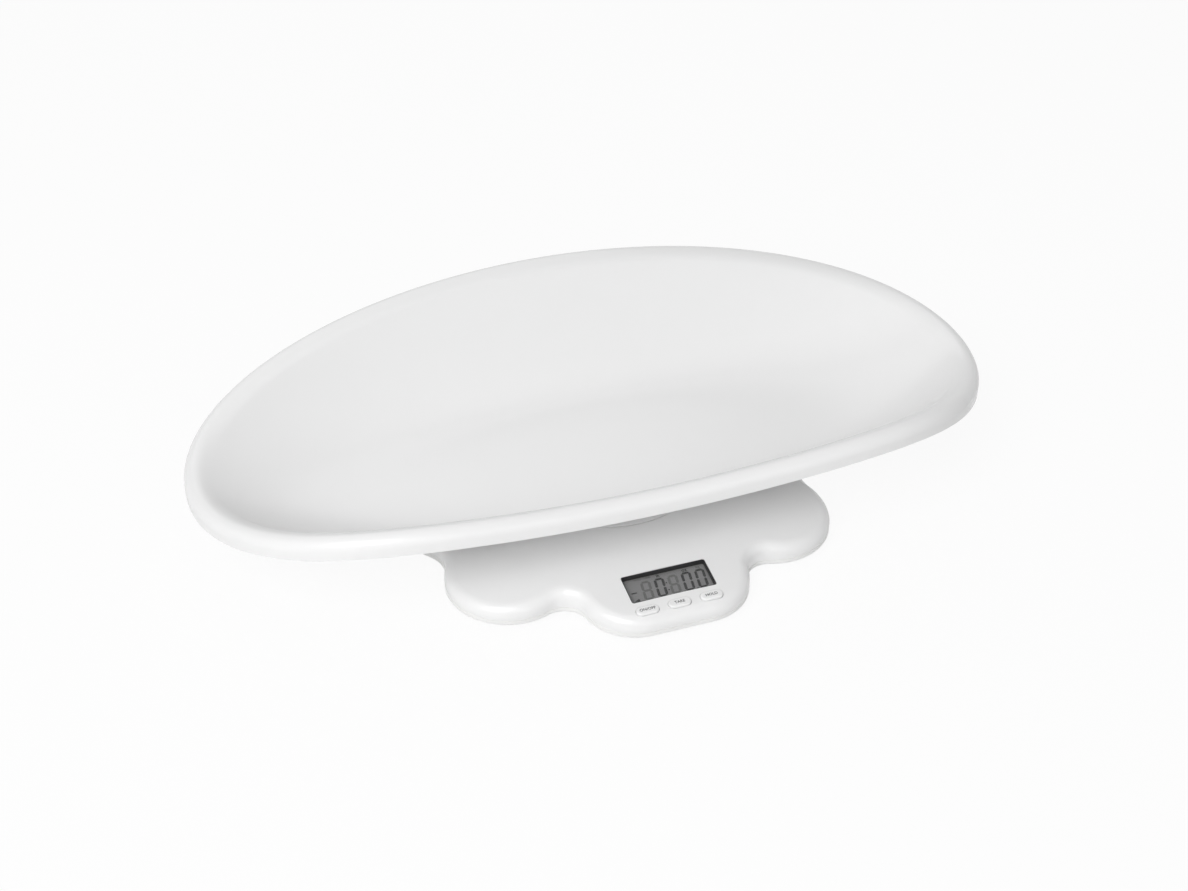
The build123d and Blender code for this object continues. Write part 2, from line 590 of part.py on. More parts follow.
def platform():
    """Round weighing platform: disc with a skirt, a rib ring, cross ribs, screw bosses and peg holes."""
    body = disc(PLATFORM_RADIUS, PLATFORM_TOP - PLATFORM_SKIRT, PLATFORM_TOP)
    body = fillet(body.faces().sort_by(Axis.Z)[-1].edges(), PLATFORM_EDGE)
    body -= disc(PLATFORM_RADIUS - 2.0, 0, PLATFORM_UNDER)
    rib_bottom = BRACKET_TOP + 0.6
    body += ring(PLATFORM_RIB_RADIUS, 1.6, rib_bottom, PLATFORM_UNDER)
    for angle in range(0, 360, 60):
        body += Rot(0, 0, angle) * block(
            (PLATFORM_RIB_RADIUS - 0.5, PLATFORM_RADIUS - 1.5), (-0.8, 0.8), (rib_bottom, PLATFORM_UNDER)
        )
    for x, y in BRACKET_SCREWS:
        body += disc(3.4, BRACKET_TOP, PLATFORM_UNDER, x, y)
    for x, y in BRACKET_SCREWS:
        body -= disc(1.3, 0, PLATFORM_UNDER, x, y)
    for x, y in PEG_PLACES:
        body -= disc(PEG_RADIUS + PEG_CLEARANCE, 0, 2 * PLATFORM_TOP, x, y)
    return body


# ---- display and keys -----------------------------------------------------------------------


def window_plate(slack, z0, z1):
    """Plate that follows the window, smaller by a slack all round."""
    return plate(WINDOW_WIDTH - 2 * slack, WINDOW_HEIGHT - 2 * slack, WINDOW_CORNER - slack, z0, z1)


def display_lens():
    """Clear window, set deep in the collar of the display frame."""
    return PANEL * window_plate(COLLAR_GAP + COLLAR_WALL + LENS_GAP, LENS_TOP - LENS_THICKNESS, LENS_TOP)


def lcd_glass():
    """Liquid-crystal cell: a wide front glass on a back glass that leaves a contact ledge free."""
    middle = GLASS_TOP - GLASS_THICKNESS / 2
    front = plate(GLASS_WIDTH, GLASS_HEIGHT, 0.3, middle, GLASS_TOP)
    back = plate(GLASS_WIDTH, GLASS_HEIGHT - 0.6, 0.3, GLASS_TOP - GLASS_THICKNESS, middle, y=0.3)
    return PANEL * (front + back)


def lcd_holder():
    """Black frame over the display glass, with a thin collar that lines the window."""
    frame = plate(HOLDER_WIDTH, HOLDER_HEIGHT, HOLDER_CORNER, PCB_TOP, HOLDER_TOP)
    frame += window_plate(COLLAR_GAP, HOLDER_TOP, COLLAR_TOP)
    frame -= window_plate(COLLAR_GAP + COLLAR_WALL, PCB_TOP, 0)
    pocket_top = GLASS_TOP + GLASS_SEAT_GAP
    frame -= plate(GLASS_WIDTH + 2 * GLASS_GAP, GLASS_HEIGHT + 2 * GLASS_GAP, 0.5, PCB_TOP, pocket_top)
    return PANEL * frame


def contact_strips():
    """Two elastomer strips that join the display glass to the circuit board."""
    strips = []
    for side in (-1, 1):
        y = side * STRIP_Y
        strips.append(PANEL * block(
            (-STRIP_LENGTH / 2, STRIP_LENGTH / 2),
            (y - STRIP_WIDTH / 2, y + STRIP_WIDTH / 2),
            (PCB_TOP, GLASS_TOP - GLASS_THICKNESS),
        ))
    return group(strips)


def main_pcb():
    """Circuit board behind the display, its front corners rounded to fit the display lobe."""
    depth = PCB_REAR - PCB_FRONT
    bottom = PCB_TOP - PCB_THICKNESS
    board = block((-PCB_WIDTH / 2, PCB_WIDTH / 2), (PCB_FRONT, PCB_REAR), (bottom, PCB_TOP))
    corners = [e for e in board.edges().filter_by(Axis.Z) if e.center().Y < PCB_REAR - depth / 2]
    board = fillet(corners, PCB_CORNER)
    for x, y in PCB_POSTS:
        board -= disc(1.2, bottom - 1, PCB_TOP + 1, x, y)
    return PANEL * board


def pcb_screws():
    """Four small screws that hold the board up against the posts of the cover."""
    seat = PCB_TOP - PCB_THICKNESS
    return group([
        PANEL * pan_screw(x, y, seat, PCB_TOP + 4.0, 0.9, 2.0, 1.2) for x, y in PCB_POSTS
    ])


def key_cap(x, y):
    """Oblong key with a softened top, a retaining flange and a stem for its switch."""
    cap = pill(KEY_LENGTH, KEY_WIDTH, FLANGE_TOP - 0.5, KEY_PROUD, x, y)
    cap = fillet(cap.faces().sort_by(Axis.Z)[-1].edges(), KEY_EDGE)
    flange_bottom = FLANGE_TOP - FLANGE_THICKNESS
    cap += pill(KEY_LENGTH + 2 * FLANGE_EXTRA, KEY_WIDTH + 2 * FLANGE_EXTRA, flange_bottom, FLANGE_TOP, x, y)
    cap += disc(2.0, PLUNGER_TOP, flange_bottom, x, y)
    return PANEL * cap


def key_plunger(x, y):
    """Moving core of the switch under one key."""
    return PANEL * disc(PLUNGER_RADIUS, PLUNGER_END, PLUNGER_TOP, x, y)


def tact_switches():
    """Three switch housings on the board, each bored for its plunger."""
    bodies = []
    half = SWITCH_SIZE / 2
    top = PCB_TOP + SWITCH_HEIGHT
    for x, y in KEY_PLACES:
        body = block((x - half, x + half), (y - half, y + half), (PCB_TOP, top))
        body = chamfer(body.faces().sort_by(Axis.Z)[-1].edges(), 0.4)
        bodies.append(PANEL * (body - disc(PLUNGER_RADIUS + 0.08, PLUNGER_END - KEY_TRAVEL - 0.2, 0, x, y)))
    return group(bodies)


def chip_blob():
    """Resin dome over the measuring chip, under the board."""
    seat = PCB_TOP - PCB_THICKNESS
    radius, height = 6.5, 1.4
    sphere = (radius**2 + height**2) / (2 * height)
    dome = Pos(-12, 4, seat - height + sphere) * Sphere(sphere)
    return PANEL * (dome & block((-22, 0), (-6, 14), (seat - height - 1, seat)))


def board_parts():
    """Crystal, capacitors and the two lead sockets, under the board."""
    seat = PCB_TOP - PCB_THICKNESS
    crystal = Pos(6, 6, seat - 1.5) * (Rot(0, 90, 0) * Cylinder(1.5, 8))
    crystal &= block((0, 20), (0, 12), (seat - 4, seat))
    solids = [crystal]
    for x in (16.0, 22.5):
        solids.append(disc(2.5, seat - 3.2, seat, x, 8.0))
    for x in (-SOCKET_X, SOCKET_X):
        solids.append(block((x - 4, x + 4), (SOCKET_REAR - 6, SOCKET_REAR), (seat - SOCKET_HEIGHT, seat)))
    return group([PANEL * s for s in solids])


def parallel_route(points, offset):
    """Route moved sideways in plan, to the right of its way."""
    ways = [b - a for a, b in zip(points, points[1:])]
    normals = [Vector(w.Y, -w.X, 0).normalized() for w in ways]
    sides = [normals[0]]
    sides += [(m + n) * (1 / (1 + m.dot(n))) for m, n in zip(normals, normals[1:])]
    sides.append(normals[-1])
    return [p + s * offset for p, s in zip(points, sides)]


def wire_path(points, bend):
    """Straight runs joined by arcs of one radius."""
    edges, start = [], points[0]
    for before, corner, after in zip(points, points[1:], points[2:]):
        enter, leave = (corner - before).normalized(), (after - corner).normalized()
        half_turn = radians(enter.get_angle(leave) / 2)
        reach = bend * tan(half_turn)
        a, b = corner - enter * reach, corner + leave * reach
        middle = corner + (leave - enter).normalized() * (bend / cos(half_turn) - bend)
        edges += [Line(start, a), ThreePointArc(a, middle, b)]
        start = b
    edges.append(Line(start, points[-1]))
    return Wire(edges)


def leads(socket_x, route, offsets, radius):
    """Parallel insulated wires from the rear face of a lead socket along a route."""
    socket = PANEL * Pos(socket_x, SOCKET_REAR + 0.1, PCB_TOP - PCB_THICKNESS - SOCKET_HEIGHT / 2)
    points = [socket.position] + [Vector(*p) for p in route]
    wires = []
    for offset in offsets:
        path = wire_path(parallel_route(points, offset), WIRE_BEND)
        section = Plane(path @ 0, z_dir=path % 0) * Circle(radius)
        wires.append(sweep(section, path=path))
    return group(wires)


# ---- tray -----------------------------------------------------------------------------------


def rim_reach(angle):
    """Plan X of the rim before scaling, by plan angle; the back half is the fuller one."""
    return cos(angle) + RIM_SQUARENESS * cos(3 * angle) + RIM_BACK_SWELL * sin(2 * angle)


RIM_SCALE = (TRAY_LENGTH / 2 - ROLL_RADIUS) / max(rim_reach(radians(a)) for a in range(360))


def rim_centre(angle):
    """Centre of the rolled edge: zero angle at the right end, a quarter turn at the back."""
    x = RIM_SCALE * rim_reach(angle)
    y = RIM_CENTRE_Y + RIM_HALF_DEPTH * sin(angle) - RIM_END_SETBACK * cos(2 * angle)
    z = RIM_HEIGHT - RIM_SADDLE * cos(2 * angle) - RIM_BACK_RISE * sin(3 * angle)
    return Vector(x, y, z)


def rim_outward(angle):
    """Level unit vector square to the rim, pointing out of the tray."""
    along = rim_centre(angle + 0.001) - rim_centre(angle - 0.001)
    return Vector(along.Y, -along.X, 0).normalized()


def roll_point(angle, out, up):
    """Point in the rim's cross-section, by its reach outwards and upwards from the roll's centre."""
    return rim_centre(angle) + rim_outward(angle) * out + Vector(0, 0, up)


def dish_point(angle, share):
    """Point on the inside of the dish: share 0 on the edge of the flat floor, 1 at the roll."""
    floor = Vector(
        FLOOR_HALF_LENGTH * cos(angle), FLOOR_CENTRE_Y + FLOOR_HALF_DEPTH * sin(angle), TRAY_FLOOR
    )
    foot = roll_point(angle, -ROLL_RADIUS - FOOT_INSET, -FOOT_DROP)
    plan = floor + (foot - floor) * share
    return Vector(plan.X, plan.Y, TRAY_FLOOR + (foot.Z - TRAY_FLOOR) * share**DISH_CURVE)


def dish_under(angle, share):
    """Point on the underside of the dish, one wall thickness square below the inside."""
    if share == 0:
        return dish_point(angle, 0) - Vector(0, 0, TRAY_WALL)
    step = 0.001
    across = dish_point(angle, share) - dish_point(angle, share - step)
    along = dish_point(angle + step, share) - dish_point(angle - step, share)
    normal = across.cross(along).normalized()
    return dish_point(angle, share) - normal * TRAY_WALL


def rim_ring(point_at):
    """Closed smooth ring through the stations round the tray."""
    stations = [2 * pi * i / RIM_STATIONS for i in range(RIM_STATIONS)]
    return Wire([Edge.make_spline([point_at(a) for a in stations], periodic=True)])


def roll_rings(radius):
    """Rings over the rolled edge and down its skirt, at one radius about the centre of the roll."""
    turns = [radians(d) for d in (165, 135, 110, 85, 60, 35, 0)]
    section = [(radius * cos(t), radius * sin(t)) for t in turns]
    section += [(radius, -share * SKIRT_DROP) for share in (0.55, 1)]
    return [rim_ring(lambda a, out=out, up=up: roll_point(a, out, up)) for out, up in section]


def tray_shell():
    """Dish with a rolled rim: two smooth skins, joined along the foot of the skirt, on a flat floor."""
    shares = (0, 0.12, 0.27, 0.45, 0.62, 0.77, 0.89, 0.97)
    above = [rim_ring(lambda a, s=s: dish_point(a, s)) for s in shares] + roll_rings(ROLL_RADIUS)
    below = [rim_ring(lambda a, s=s: dish_under(a, s)) for s in shares] + roll_rings(ROLL_RADIUS - TRAY_WALL)
    lip = Shell.make_loft([above[-1], below[-1]], ruled=True)
    skins = [Shell.make_loft(above), Shell.make_loft(below), lip]
    faces = [face for skin in skins for face in skin.faces()]
    return Solid(Shell(faces + [Face(above[0]), Face(below[0])]))


def tray():
    """Lift-off tray: the dish, its seat ring and four pegs that drop into the platform."""
    body = tray_shell()
    seat_top = PLATFORM_TOP + SEAT_RING_HEIGHT + TRAY_WALL / 2
    body += ring(SEAT_RING_RADIUS + SEAT_RING_WALL / 2, SEAT_RING_WALL, PLATFORM_TOP, seat_top)
    for x, y in PEG_PLACES:
        peg = disc(PEG_RADIUS, PLATFORM_TOP - PEG_REACH, seat_top, x, y)
        body += chamfer(peg.faces().sort_by(Axis.Z)[0].edges(), PEG_EDGE)
    return body


# ---- build ----------------------------------------------------------------------------------


def build_nodes():
    """Every sub-part of the scale, by the name of its node."""
    nodes = {
        "tray": tray(),
        "platform": platform(),
        "platform_bracket": platform_bracket(),
        "platform_screws": platform_screws(),
        "upper_spacer": spacer(CELL_TOP, BRACKET_Z, 1),
        "load_cell_upper_screws": load_cell_screws(1),
        "load_cell": load_cell(),
        "gauge_potting": gauge_potting(),
        "lower_spacer": spacer(BASE_PLATE_Z + BASE_PLATE_THICKNESS, CELL_Z, -1),
        "load_cell_lower_screws": load_cell_screws(-1),
        "load_cell_base_plate": load_cell_base_plate(),
        "base_plate_screws": base_plate_screws(),
        "top_cover": top_cover(),
        "bottom_cover": bottom_cover(),
        "case_screws": case_screws(),
        "rubber_feet": rubber_feet(),
        "battery_door": battery_door(),
        "batteries": batteries(),
        "battery_contact_plates": battery_contacts(False),
        "battery_contact_springs": battery_contacts(True),
        "display_lens": display_lens(),
        "lcd_glass": lcd_glass(),
        "lcd_holder": lcd_holder(),
        "lcd_contact_strips": contact_strips(),
        "main_pcb": main_pcb(),
        "pcb_screws": pcb_screws(),
        "tact_switches": tact_switches(),
        "chip_blob": chip_blob(),
        "board_components": board_parts(),
        "load_cell_wires": leads(-SOCKET_X, CELL_WIRE_ROUTE, CELL_WIRE_OFFSETS, CELL_WIRE_RADIUS),
        "battery_wires": leads(SOCKET_X, BATTERY_WIRE_ROUTE, BATTERY_WIRE_OFFSETS, BATTERY_WIRE_RADIUS),
    }
    for name, (x, y) in zip(KEY_NAMES, KEY_PLACES):
        nodes["button_" + name] = key_cap(x, y)
        nodes["switch_plunger_" + name] = key_plunger(x, y)
    return nodes


os.makedirs("parts", exist_ok=True)
for node_name, shape in build_nodes().items():
    export_step(Pos(0, -OUTLINE_MIDDLE_Y, 0) * shape, "parts/" + node_name + ".step")
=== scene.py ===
"""Finishes, tray shell, display marks, legends, screw recesses, light and camera of a baby scale.

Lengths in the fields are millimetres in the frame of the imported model: +Z up, the display faces
-Y and the tray runs along X. Meshes and lamps are made in metres.
"""

from __future__ import annotations

import logging
import math
from dataclasses import dataclass
from enum import Enum
from typing import ClassVar, Iterable, Sequence

import bmesh
import bpy
from bpy.types import ID, Material, Node, NodeSocket, NodeTree, Object, World
from mathutils import Matrix, Vector

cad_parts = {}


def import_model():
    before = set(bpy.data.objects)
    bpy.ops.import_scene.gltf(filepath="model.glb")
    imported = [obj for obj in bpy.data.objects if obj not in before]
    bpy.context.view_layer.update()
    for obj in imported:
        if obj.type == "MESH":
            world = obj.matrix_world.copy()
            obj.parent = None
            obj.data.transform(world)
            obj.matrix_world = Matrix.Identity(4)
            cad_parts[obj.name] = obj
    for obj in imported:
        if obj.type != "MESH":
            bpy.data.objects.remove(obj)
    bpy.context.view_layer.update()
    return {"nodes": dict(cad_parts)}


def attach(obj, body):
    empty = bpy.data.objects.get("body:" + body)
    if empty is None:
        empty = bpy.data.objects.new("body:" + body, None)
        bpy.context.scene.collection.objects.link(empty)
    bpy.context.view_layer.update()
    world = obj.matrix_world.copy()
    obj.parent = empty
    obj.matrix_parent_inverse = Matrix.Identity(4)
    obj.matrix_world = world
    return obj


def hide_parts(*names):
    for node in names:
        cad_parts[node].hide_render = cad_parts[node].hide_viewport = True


LOG = logging.getLogger("baby_scale")
MM = 0.001
# Y of the platform's axis, from which places on the tray and the cover are measured.
AXIS_Y = -4.4
NO_TURN = (0.0, 0.0, 0.0)
FULL_SIZE = (1.0, 1.0, 1.0)

# Place in millimetres, turn in radians and stretch of one copy.
Spot = tuple[Sequence[float], Sequence[float], Sequence[float]]


class Body(Enum):
    """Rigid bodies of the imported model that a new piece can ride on."""

    BASE = "base"
    TRAY = "tray"
    KEY_ON_OFF = "on_off_key"
    KEY_TARE = "tare_key"
    KEY_HOLD = "hold_key"


class Slot(Enum):
    """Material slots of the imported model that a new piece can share."""

    TRAY = "white_tray"
    KEYS = "white_keys"
    DISPLAY = "display_glass"
    SCREWS = "zinc_screws"


# ---- small tools ----------------------------------------------------------------------------


def linear(hex_colour: str) -> tuple[float, float, float, float]:
    """Turns an sRGB hex colour into linear light.

    Args:
        hex_colour: six hexadecimal digits, such as "f2f2f0".

    Returns:
        Linear red, green and blue, with full alpha.
    """
    values = [int(hex_colour[i:i + 2], 16) / 255 for i in (0, 2, 4)]
    parts = [v / 12.92 if v <= 0.04045 else ((v + 0.055) / 1.055) ** 2.4 for v in values]
    return (parts[0], parts[1], parts[2], 1.0)


def add_node(tree: NodeTree, kind: str, settings: dict | None = None, links: dict | None = None) -> Node:
    """Adds a node with its settings and its incoming links.

    Args:
        tree: node tree that gets the node.
        kind: Blender's type name of the node.
        settings: values by socket name or index, or by property name.
        links: output sockets by the name or index of the input that they feed.

    Returns:
        The new node.
    """
    node = tree.nodes.new(kind)
    names = set(node.inputs.keys())
    properties = {k: v for k, v in (settings or {}).items() if not isinstance(k, int) and k not in names}
    for key, value in properties.items():
        setattr(node, key, value)
    for key, value in (settings or {}).items():
        if key not in properties:
            node.inputs[key].default_value = value
    for key, socket in (links or {}).items():
        tree.links.new(socket, node.inputs[key])
    return node


def scene_object(name: str, data: ID) -> Object:
    """Puts something into the scene as an object at the origin.

    Args:
        name: name of the object.
        data: a mesh, a text, a lamp or a camera.

    Returns:
        The object.
    """
    obj = bpy.data.objects.new(name, data)
    bpy.context.scene.collection.objects.link(obj)
    return obj


def solid_from(name: str, vertices: Iterable[Sequence[float]], faces: Iterable[Sequence[int]]) -> Object:
    """Makes an object from vertices in millimetres and faces that point outwards.

    Args:
        name: name of the object and its mesh.
        vertices: points in millimetres.
        faces: vertex numbers of each face.

    Returns:
        The object, in metres.
    """
    mesh = bpy.data.meshes.new(name)
    mesh.from_pydata([[c * MM for c in point] for point in vertices], [], [list(face) for face in faces])
    mesh.validate()
    return scene_object(name, mesh)


def baked_copy(name: str, obj: Object) -> Object:
    """Turns an object with modifiers, or a text, into a plain mesh object and drops the original.

    Args:
        name: name of the new object.
        obj: object to evaluate.

    Returns:
        A mesh object at the origin.
    """
    bpy.context.view_layer.update()
    depsgraph = bpy.context.evaluated_depsgraph_get()
    mesh = bpy.data.meshes.new_from_object(obj.evaluated_get(depsgraph), depsgraph=depsgraph)
    mesh.transform(obj.matrix_world)
    bpy.data.objects.remove(obj)
    mesh.name = name
    return scene_object(name, mesh)


def dress(obj: Object, material: Material) -> None:
    """Gives a piece one material."""
    obj.data.materials.clear()
    obj.data.materials.append(material)


def merged_copy(name: str, obj: Object) -> Object:
    """Copies a mesh object and joins its loose triangles along their shared edges.

    Args:
        name: name of the copy.
        obj: object whose mesh lies where it belongs.

    Returns:
        The copy, at the origin.
    """
    same_point = 0.001 * MM
    mesh = obj.data.copy()
    shape = bmesh.new()
    shape.from_mesh(mesh)
    bmesh.ops.remove_doubles(shape, verts=shape.verts, dist=same_point)
    shape.to_mesh(mesh)
    shape.free()
    return scene_object(name, mesh)


def islands(obj: Object) -> list[list[Vector]]:
    """Collects the corners of each separate solid of a merged mesh.

    Args:
        obj: mesh object.

    Returns:
        Corners of each solid, in metres.
    """
    shape = bmesh.new()
    shape.from_mesh(obj.data)
    left = set(shape.verts)
    found = []
    for first in shape.verts:
        if first not in left:
            continue
        left.remove(first)
        front, solid = [first], [first]
        while front:
            corner = front.pop()
            near = {edge.other_vert(corner) for edge in corner.link_edges} & left
            left -= near
            front += near
            solid += near
        found.append([vert.co.copy() for vert in solid])
    shape.free()
    return found


@dataclass(frozen=True)
class Panel:
    """Display panel: a plane on the cover's dome at the middle of the display window.

    Attributes:
        crown_z: top of the dome, over the platform's axis.
        dome_radius: radius of the dome.
        window_y: middle of the window, from the platform's axis.
    """

    crown_z: float = 27.5
    dome_radius: float = 1010.0
    window_y: float = -121.4

    def matrix(self) -> Matrix:
        """Places the panel's own axes: X to the right, Y up the slope, Z out of the cover.

        Returns:
            The panel's place and turn, in metres.
        """
        drop = self.dome_radius - math.sqrt(self.dome_radius**2 - self.window_y**2)
        origin = Vector((0.0, self.window_y + AXIS_Y, self.crown_z - drop)) * MM
        tilt = math.asin(-self.window_y / self.dome_radius)
        return Matrix.Translation(origin) @ Matrix.Rotation(tilt, 4, "X")

    def carry(self, obj: Object, x: float, y: float, z: float) -> None:
        """Moves a piece drawn flat about the origin to a spot on the panel.

        Args:
            obj: piece, drawn in the XY plane.
            x: place to the right of the window's middle.
            y: place up the slope from it.
            z: height over the panel.
        """
        obj.data.transform(self.matrix() @ Matrix.Translation((x * MM, y * MM, z * MM)))


# ---- finishes -------------------------------------------------------------------------------

# How far a bump of full strength stands up, and how far light travels under a skin.
BUMP_MM = 0.1
SCATTER_MM = 1.5
# Share by which the roughness follows the grain.
GLOSS_SPREAD = 0.08
WHITE_LIGHT = linear("ffffff")


def fresh_tree(owner: Material | World) -> NodeTree:
    """Turns on the nodes of a material or a world and clears them.

    Args:
        owner: the material or world.

    Returns:
        Its empty node tree.
    """
    owner.use_nodes = True
    owner.node_tree.nodes.clear()
    return owner.node_tree


def object_coords(tree: NodeTree) -> NodeSocket:
    """Adds the object coordinates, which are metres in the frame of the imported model."""
    return add_node(tree, "ShaderNodeTexCoord").outputs["Object"]


def noise(tree: NodeTree, coords: NodeSocket, patch_mm: float, detail: float = 2.0) -> NodeSocket:
    """Adds a noise pattern whose patches have a real size.

    Args:
        tree: node tree that gets it.
        coords: coordinates in metres.
        patch_mm: size of the patches.
        detail: number of finer layers.

    Returns:
        The pattern, from 0 to 1.
    """
    pattern = add_node(tree, "ShaderNodeTexNoise", {"Scale": 1 / (patch_mm * MM), "Detail": detail},
                       {"Vector": coords})
    return pattern.outputs[0]


def bumped(tree: NodeTree, height: NodeSocket, strength: float) -> NodeSocket:
    """Adds a bump.

    Args:
        tree: node tree that gets it.
        height: the pattern that stands up, from 0 to 1.
        strength: share of the full bump.

    Returns:
        The normal for a shader.
    """
    settings = {"Strength": strength, "Distance": BUMP_MM * MM}
    return add_node(tree, "ShaderNodeBump", settings, {"Height": height}).outputs[0]


def darker(colour: Sequence[float], share: float) -> tuple[float, ...]:
    """Takes a share of the light out of a linear colour."""
    return (*(value * (1 - share) for value in colour[:3]), 1.0)


def blend(tree: NodeTree, first: Sequence[float], second: Sequence[float], share: NodeSocket) -> NodeSocket:
    """Adds a mix of two colours.

    Args:
        tree: node tree that gets it.
        first: linear colour where the share is 0.
        second: linear colour where the share is 1.
        share: share of the second colour.

    Returns:
        The mixed colour.
    """
    mix = add_node(tree, "ShaderNodeMix", {"data_type": "RGBA", 6: first, 7: second}, {0: share})
    return mix.outputs[2]


@dataclass(frozen=True)
class Finish:
    """Solid material with a slight unevenness of tone, gloss and surface.

    Attributes:
        name: the material and how its surface was made.
        colour: sRGB hex.
        roughness: mean roughness of the surface.
        metallic: 0 for plastics and rubber, 1 for metals.
        ior: index of refraction; None keeps the default, as on metals.
        tone: share by which the colour varies.
        tone_mm: size of the patches of tone.
        grain_mm: size of the surface grain.
        grain: strength of the grain's bump.
        stretch: factors along X, Y and Z; a small one lengthens the grain that way, as brushing does.
        subsurface: share of light that travels under the surface.
    """

    name: str
    colour: str
    roughness: float
    metallic: float = 0.0
    ior: float | None = 1.5
    tone: float = 0.02
    tone_mm: float = 40.0
    grain_mm: float = 0.8
    grain: float = 0.05
    stretch: tuple[float, float, float] = (1.0, 1.0, 1.0)
    subsurface: float = 0.0

    def colour_socket(self, tree: NodeTree, coords: NodeSocket) -> NodeSocket:
        """Gives the colour, a little lighter and darker in broad patches.

        Args:
            tree: the material's node tree.
            coords: object coordinates, in metres.

        Returns:
            Colour output for the shader.
        """
        base = linear(self.colour)
        return blend(tree, darker(base, self.tone), base, noise(tree, coords, self.tone_mm))

    def material(self) -> Material:
        """Builds the material with its nodes.

        Returns:
            The material.
        """
        material = bpy.data.materials.new(self.name)
        tree = fresh_tree(material)
        coords = object_coords(tree)
        stretched = add_node(tree, "ShaderNodeMapping", {"Scale": self.stretch}, {"Vector": coords})
        grain = noise(tree, stretched.outputs[0], self.grain_mm, detail=3.0)
        smoothest, roughest = (self.roughness * (1 + side * GLOSS_SPREAD) for side in (-1, 1))
        gloss = add_node(tree, "ShaderNodeMapRange", {"To Min": smoothest, "To Max": roughest},
                         {"Value": grain})
        settings = {"Metallic": self.metallic, "Subsurface Weight": self.subsurface}
        if self.subsurface:
            settings["Subsurface Radius"] = (1.0, 1.0, 1.0)
            settings["Subsurface Scale"] = SCATTER_MM * MM
        if self.ior is not None:
            settings["IOR"] = self.ior
        shader = add_node(tree, "ShaderNodeBsdfPrincipled", settings, {
            "Base Color": self.colour_socket(tree, coords),
            "Roughness": gloss.outputs[0],
            "Normal": bumped(tree, grain, self.grain),
        })
        add_node(tree, "ShaderNodeOutputMaterial", links={"Surface": shader.outputs[0]})
        return material


@dataclass(frozen=True)
class Metal(Finish):
    """Bare or plated metal, whose whole surface mirrors in its own colour.

    Attributes:
        metallic: 1 for clean metal, less under a dull coat.
        ior: None, for Blender's default.
    """

    metallic: float = 1.0
    ior: float | None = None


@dataclass(frozen=True)
class CellSleeve(Finish):
    """Printed battery sleeve: dark shrink film along the can, bare nickel steel at both ends.

    Attributes:
        sleeve_half_mm: how far the film reaches along X from the middle of the cells.
        end_colour: sRGB hex of the bare ends.
    """

    sleeve_half_mm: float = 20.8
    end_colour: str = "c9c6bf"

    def colour_socket(self, tree: NodeTree, coords: NodeSocket) -> NodeSocket:
        """Gives the colour by the distance along the can: the film, then the bare ends.

        Args:
            tree: the material's node tree.
            coords: object coordinates, in metres.

        Returns:
            Colour output for the shader.
        """
        axes = add_node(tree, "ShaderNodeSeparateXYZ", links={0: coords})
        along = add_node(tree, "ShaderNodeMath", {"operation": "ABSOLUTE"}, {0: axes.outputs[0]})
        bare = add_node(tree, "ShaderNodeMath", {"operation": "GREATER_THAN", 1: self.sleeve_half_mm * MM},
                        {0: along.outputs[0]})
        return blend(tree, linear(self.colour), linear(self.end_colour), bare.outputs[0])


@dataclass(frozen=True)
class ClearSheet:
    """Clear acrylic window: lets the light through and mirrors a little of the room on its outside.

    Attributes:
        name: the material and how its surface was made.
        tint: sRGB hex of the light that comes through.
        ior: index of refraction, which sets how much is mirrored.
        roughness: roughness of the mirrored light.
        wave_mm: size of the sheet's faint waves.
        wave: strength of their bump.
    """

    name: str
    tint: str
    ior: float = 1.49
    roughness: float = 0.03
    wave_mm: float = 12.0
    wave: float = 0.02

    def material(self) -> Material:
        """Builds the material with its nodes: a mirror on the outside only, clear from within.

        Returns:
            The material.
        """
        material = bpy.data.materials.new(self.name)
        tree = fresh_tree(material)
        normal = bumped(tree, noise(tree, object_coords(tree), self.wave_mm), self.wave)
        through = add_node(tree, "ShaderNodeBsdfTransparent", {"Color": linear(self.tint)}).outputs[0]
        mirror = add_node(tree, "ShaderNodeBsdfGlossy", {"Roughness": self.roughness}, {"Normal": normal})
        share = add_node(tree, "ShaderNodeFresnel", {"IOR": self.ior}, {"Normal": normal})
        outside = add_node(tree, "ShaderNodeMixShader", links={
            0: share.outputs[0], 1: through, 2: mirror.outputs[0]})
        within = add_node(tree, "ShaderNodeNewGeometry").outputs["Backfacing"]
        mix = add_node(tree, "ShaderNodeMixShader", links={0: within, 1: outside.outputs[0], 2: through})
        add_node(tree, "ShaderNodeOutputMaterial", links={"Surface": mix.outputs[0]})
        return material


# Gloss ABS, injection moulded in a polished tool: soft highlights on a barely uneven skin.
WHITE_ABS = Finish("ABS_white_gloss_moulded", "f1f1f1", 0.26, ior=1.53, tone=0.01, grain=0.02,
                   subsurface=0.06)
# The same ABS from a spark-eroded tool, for the underside: a fine matt grain.
WHITE_ABS_SATIN = Finish("ABS_white_spark_eroded", "f0f0ef", 0.42, ior=1.53, tone=0.015, grain_mm=0.6,
                         grain=0.18)
# Carbon-filled ABS, moulded: takes up nearly all light round the display.
BLACK_ABS = Finish("ABS_black_moulded", "2b2b2c", 0.38, tone=0.08, grain_mm=0.5, grain=0.1)
# Reflective display cell behind its polariser: an even grey with a faint grain.
DISPLAY_CELL = Finish("LCD_cell_polariser_grey", "959595", 0.3, tone=0.03, tone_mm=15.0, grain_mm=0.15,
                      grain=0.03)
# Display marks that are switched on, and those that show through faintly.
MARK_DARK = Finish("LCD_segment_dark", "3b3b3c", 0.4, tone=0.03, grain=0.0)
MARK_FAINT = Finish("LCD_segment_faint", "747474", 0.4, tone=0.03, grain=0.0)
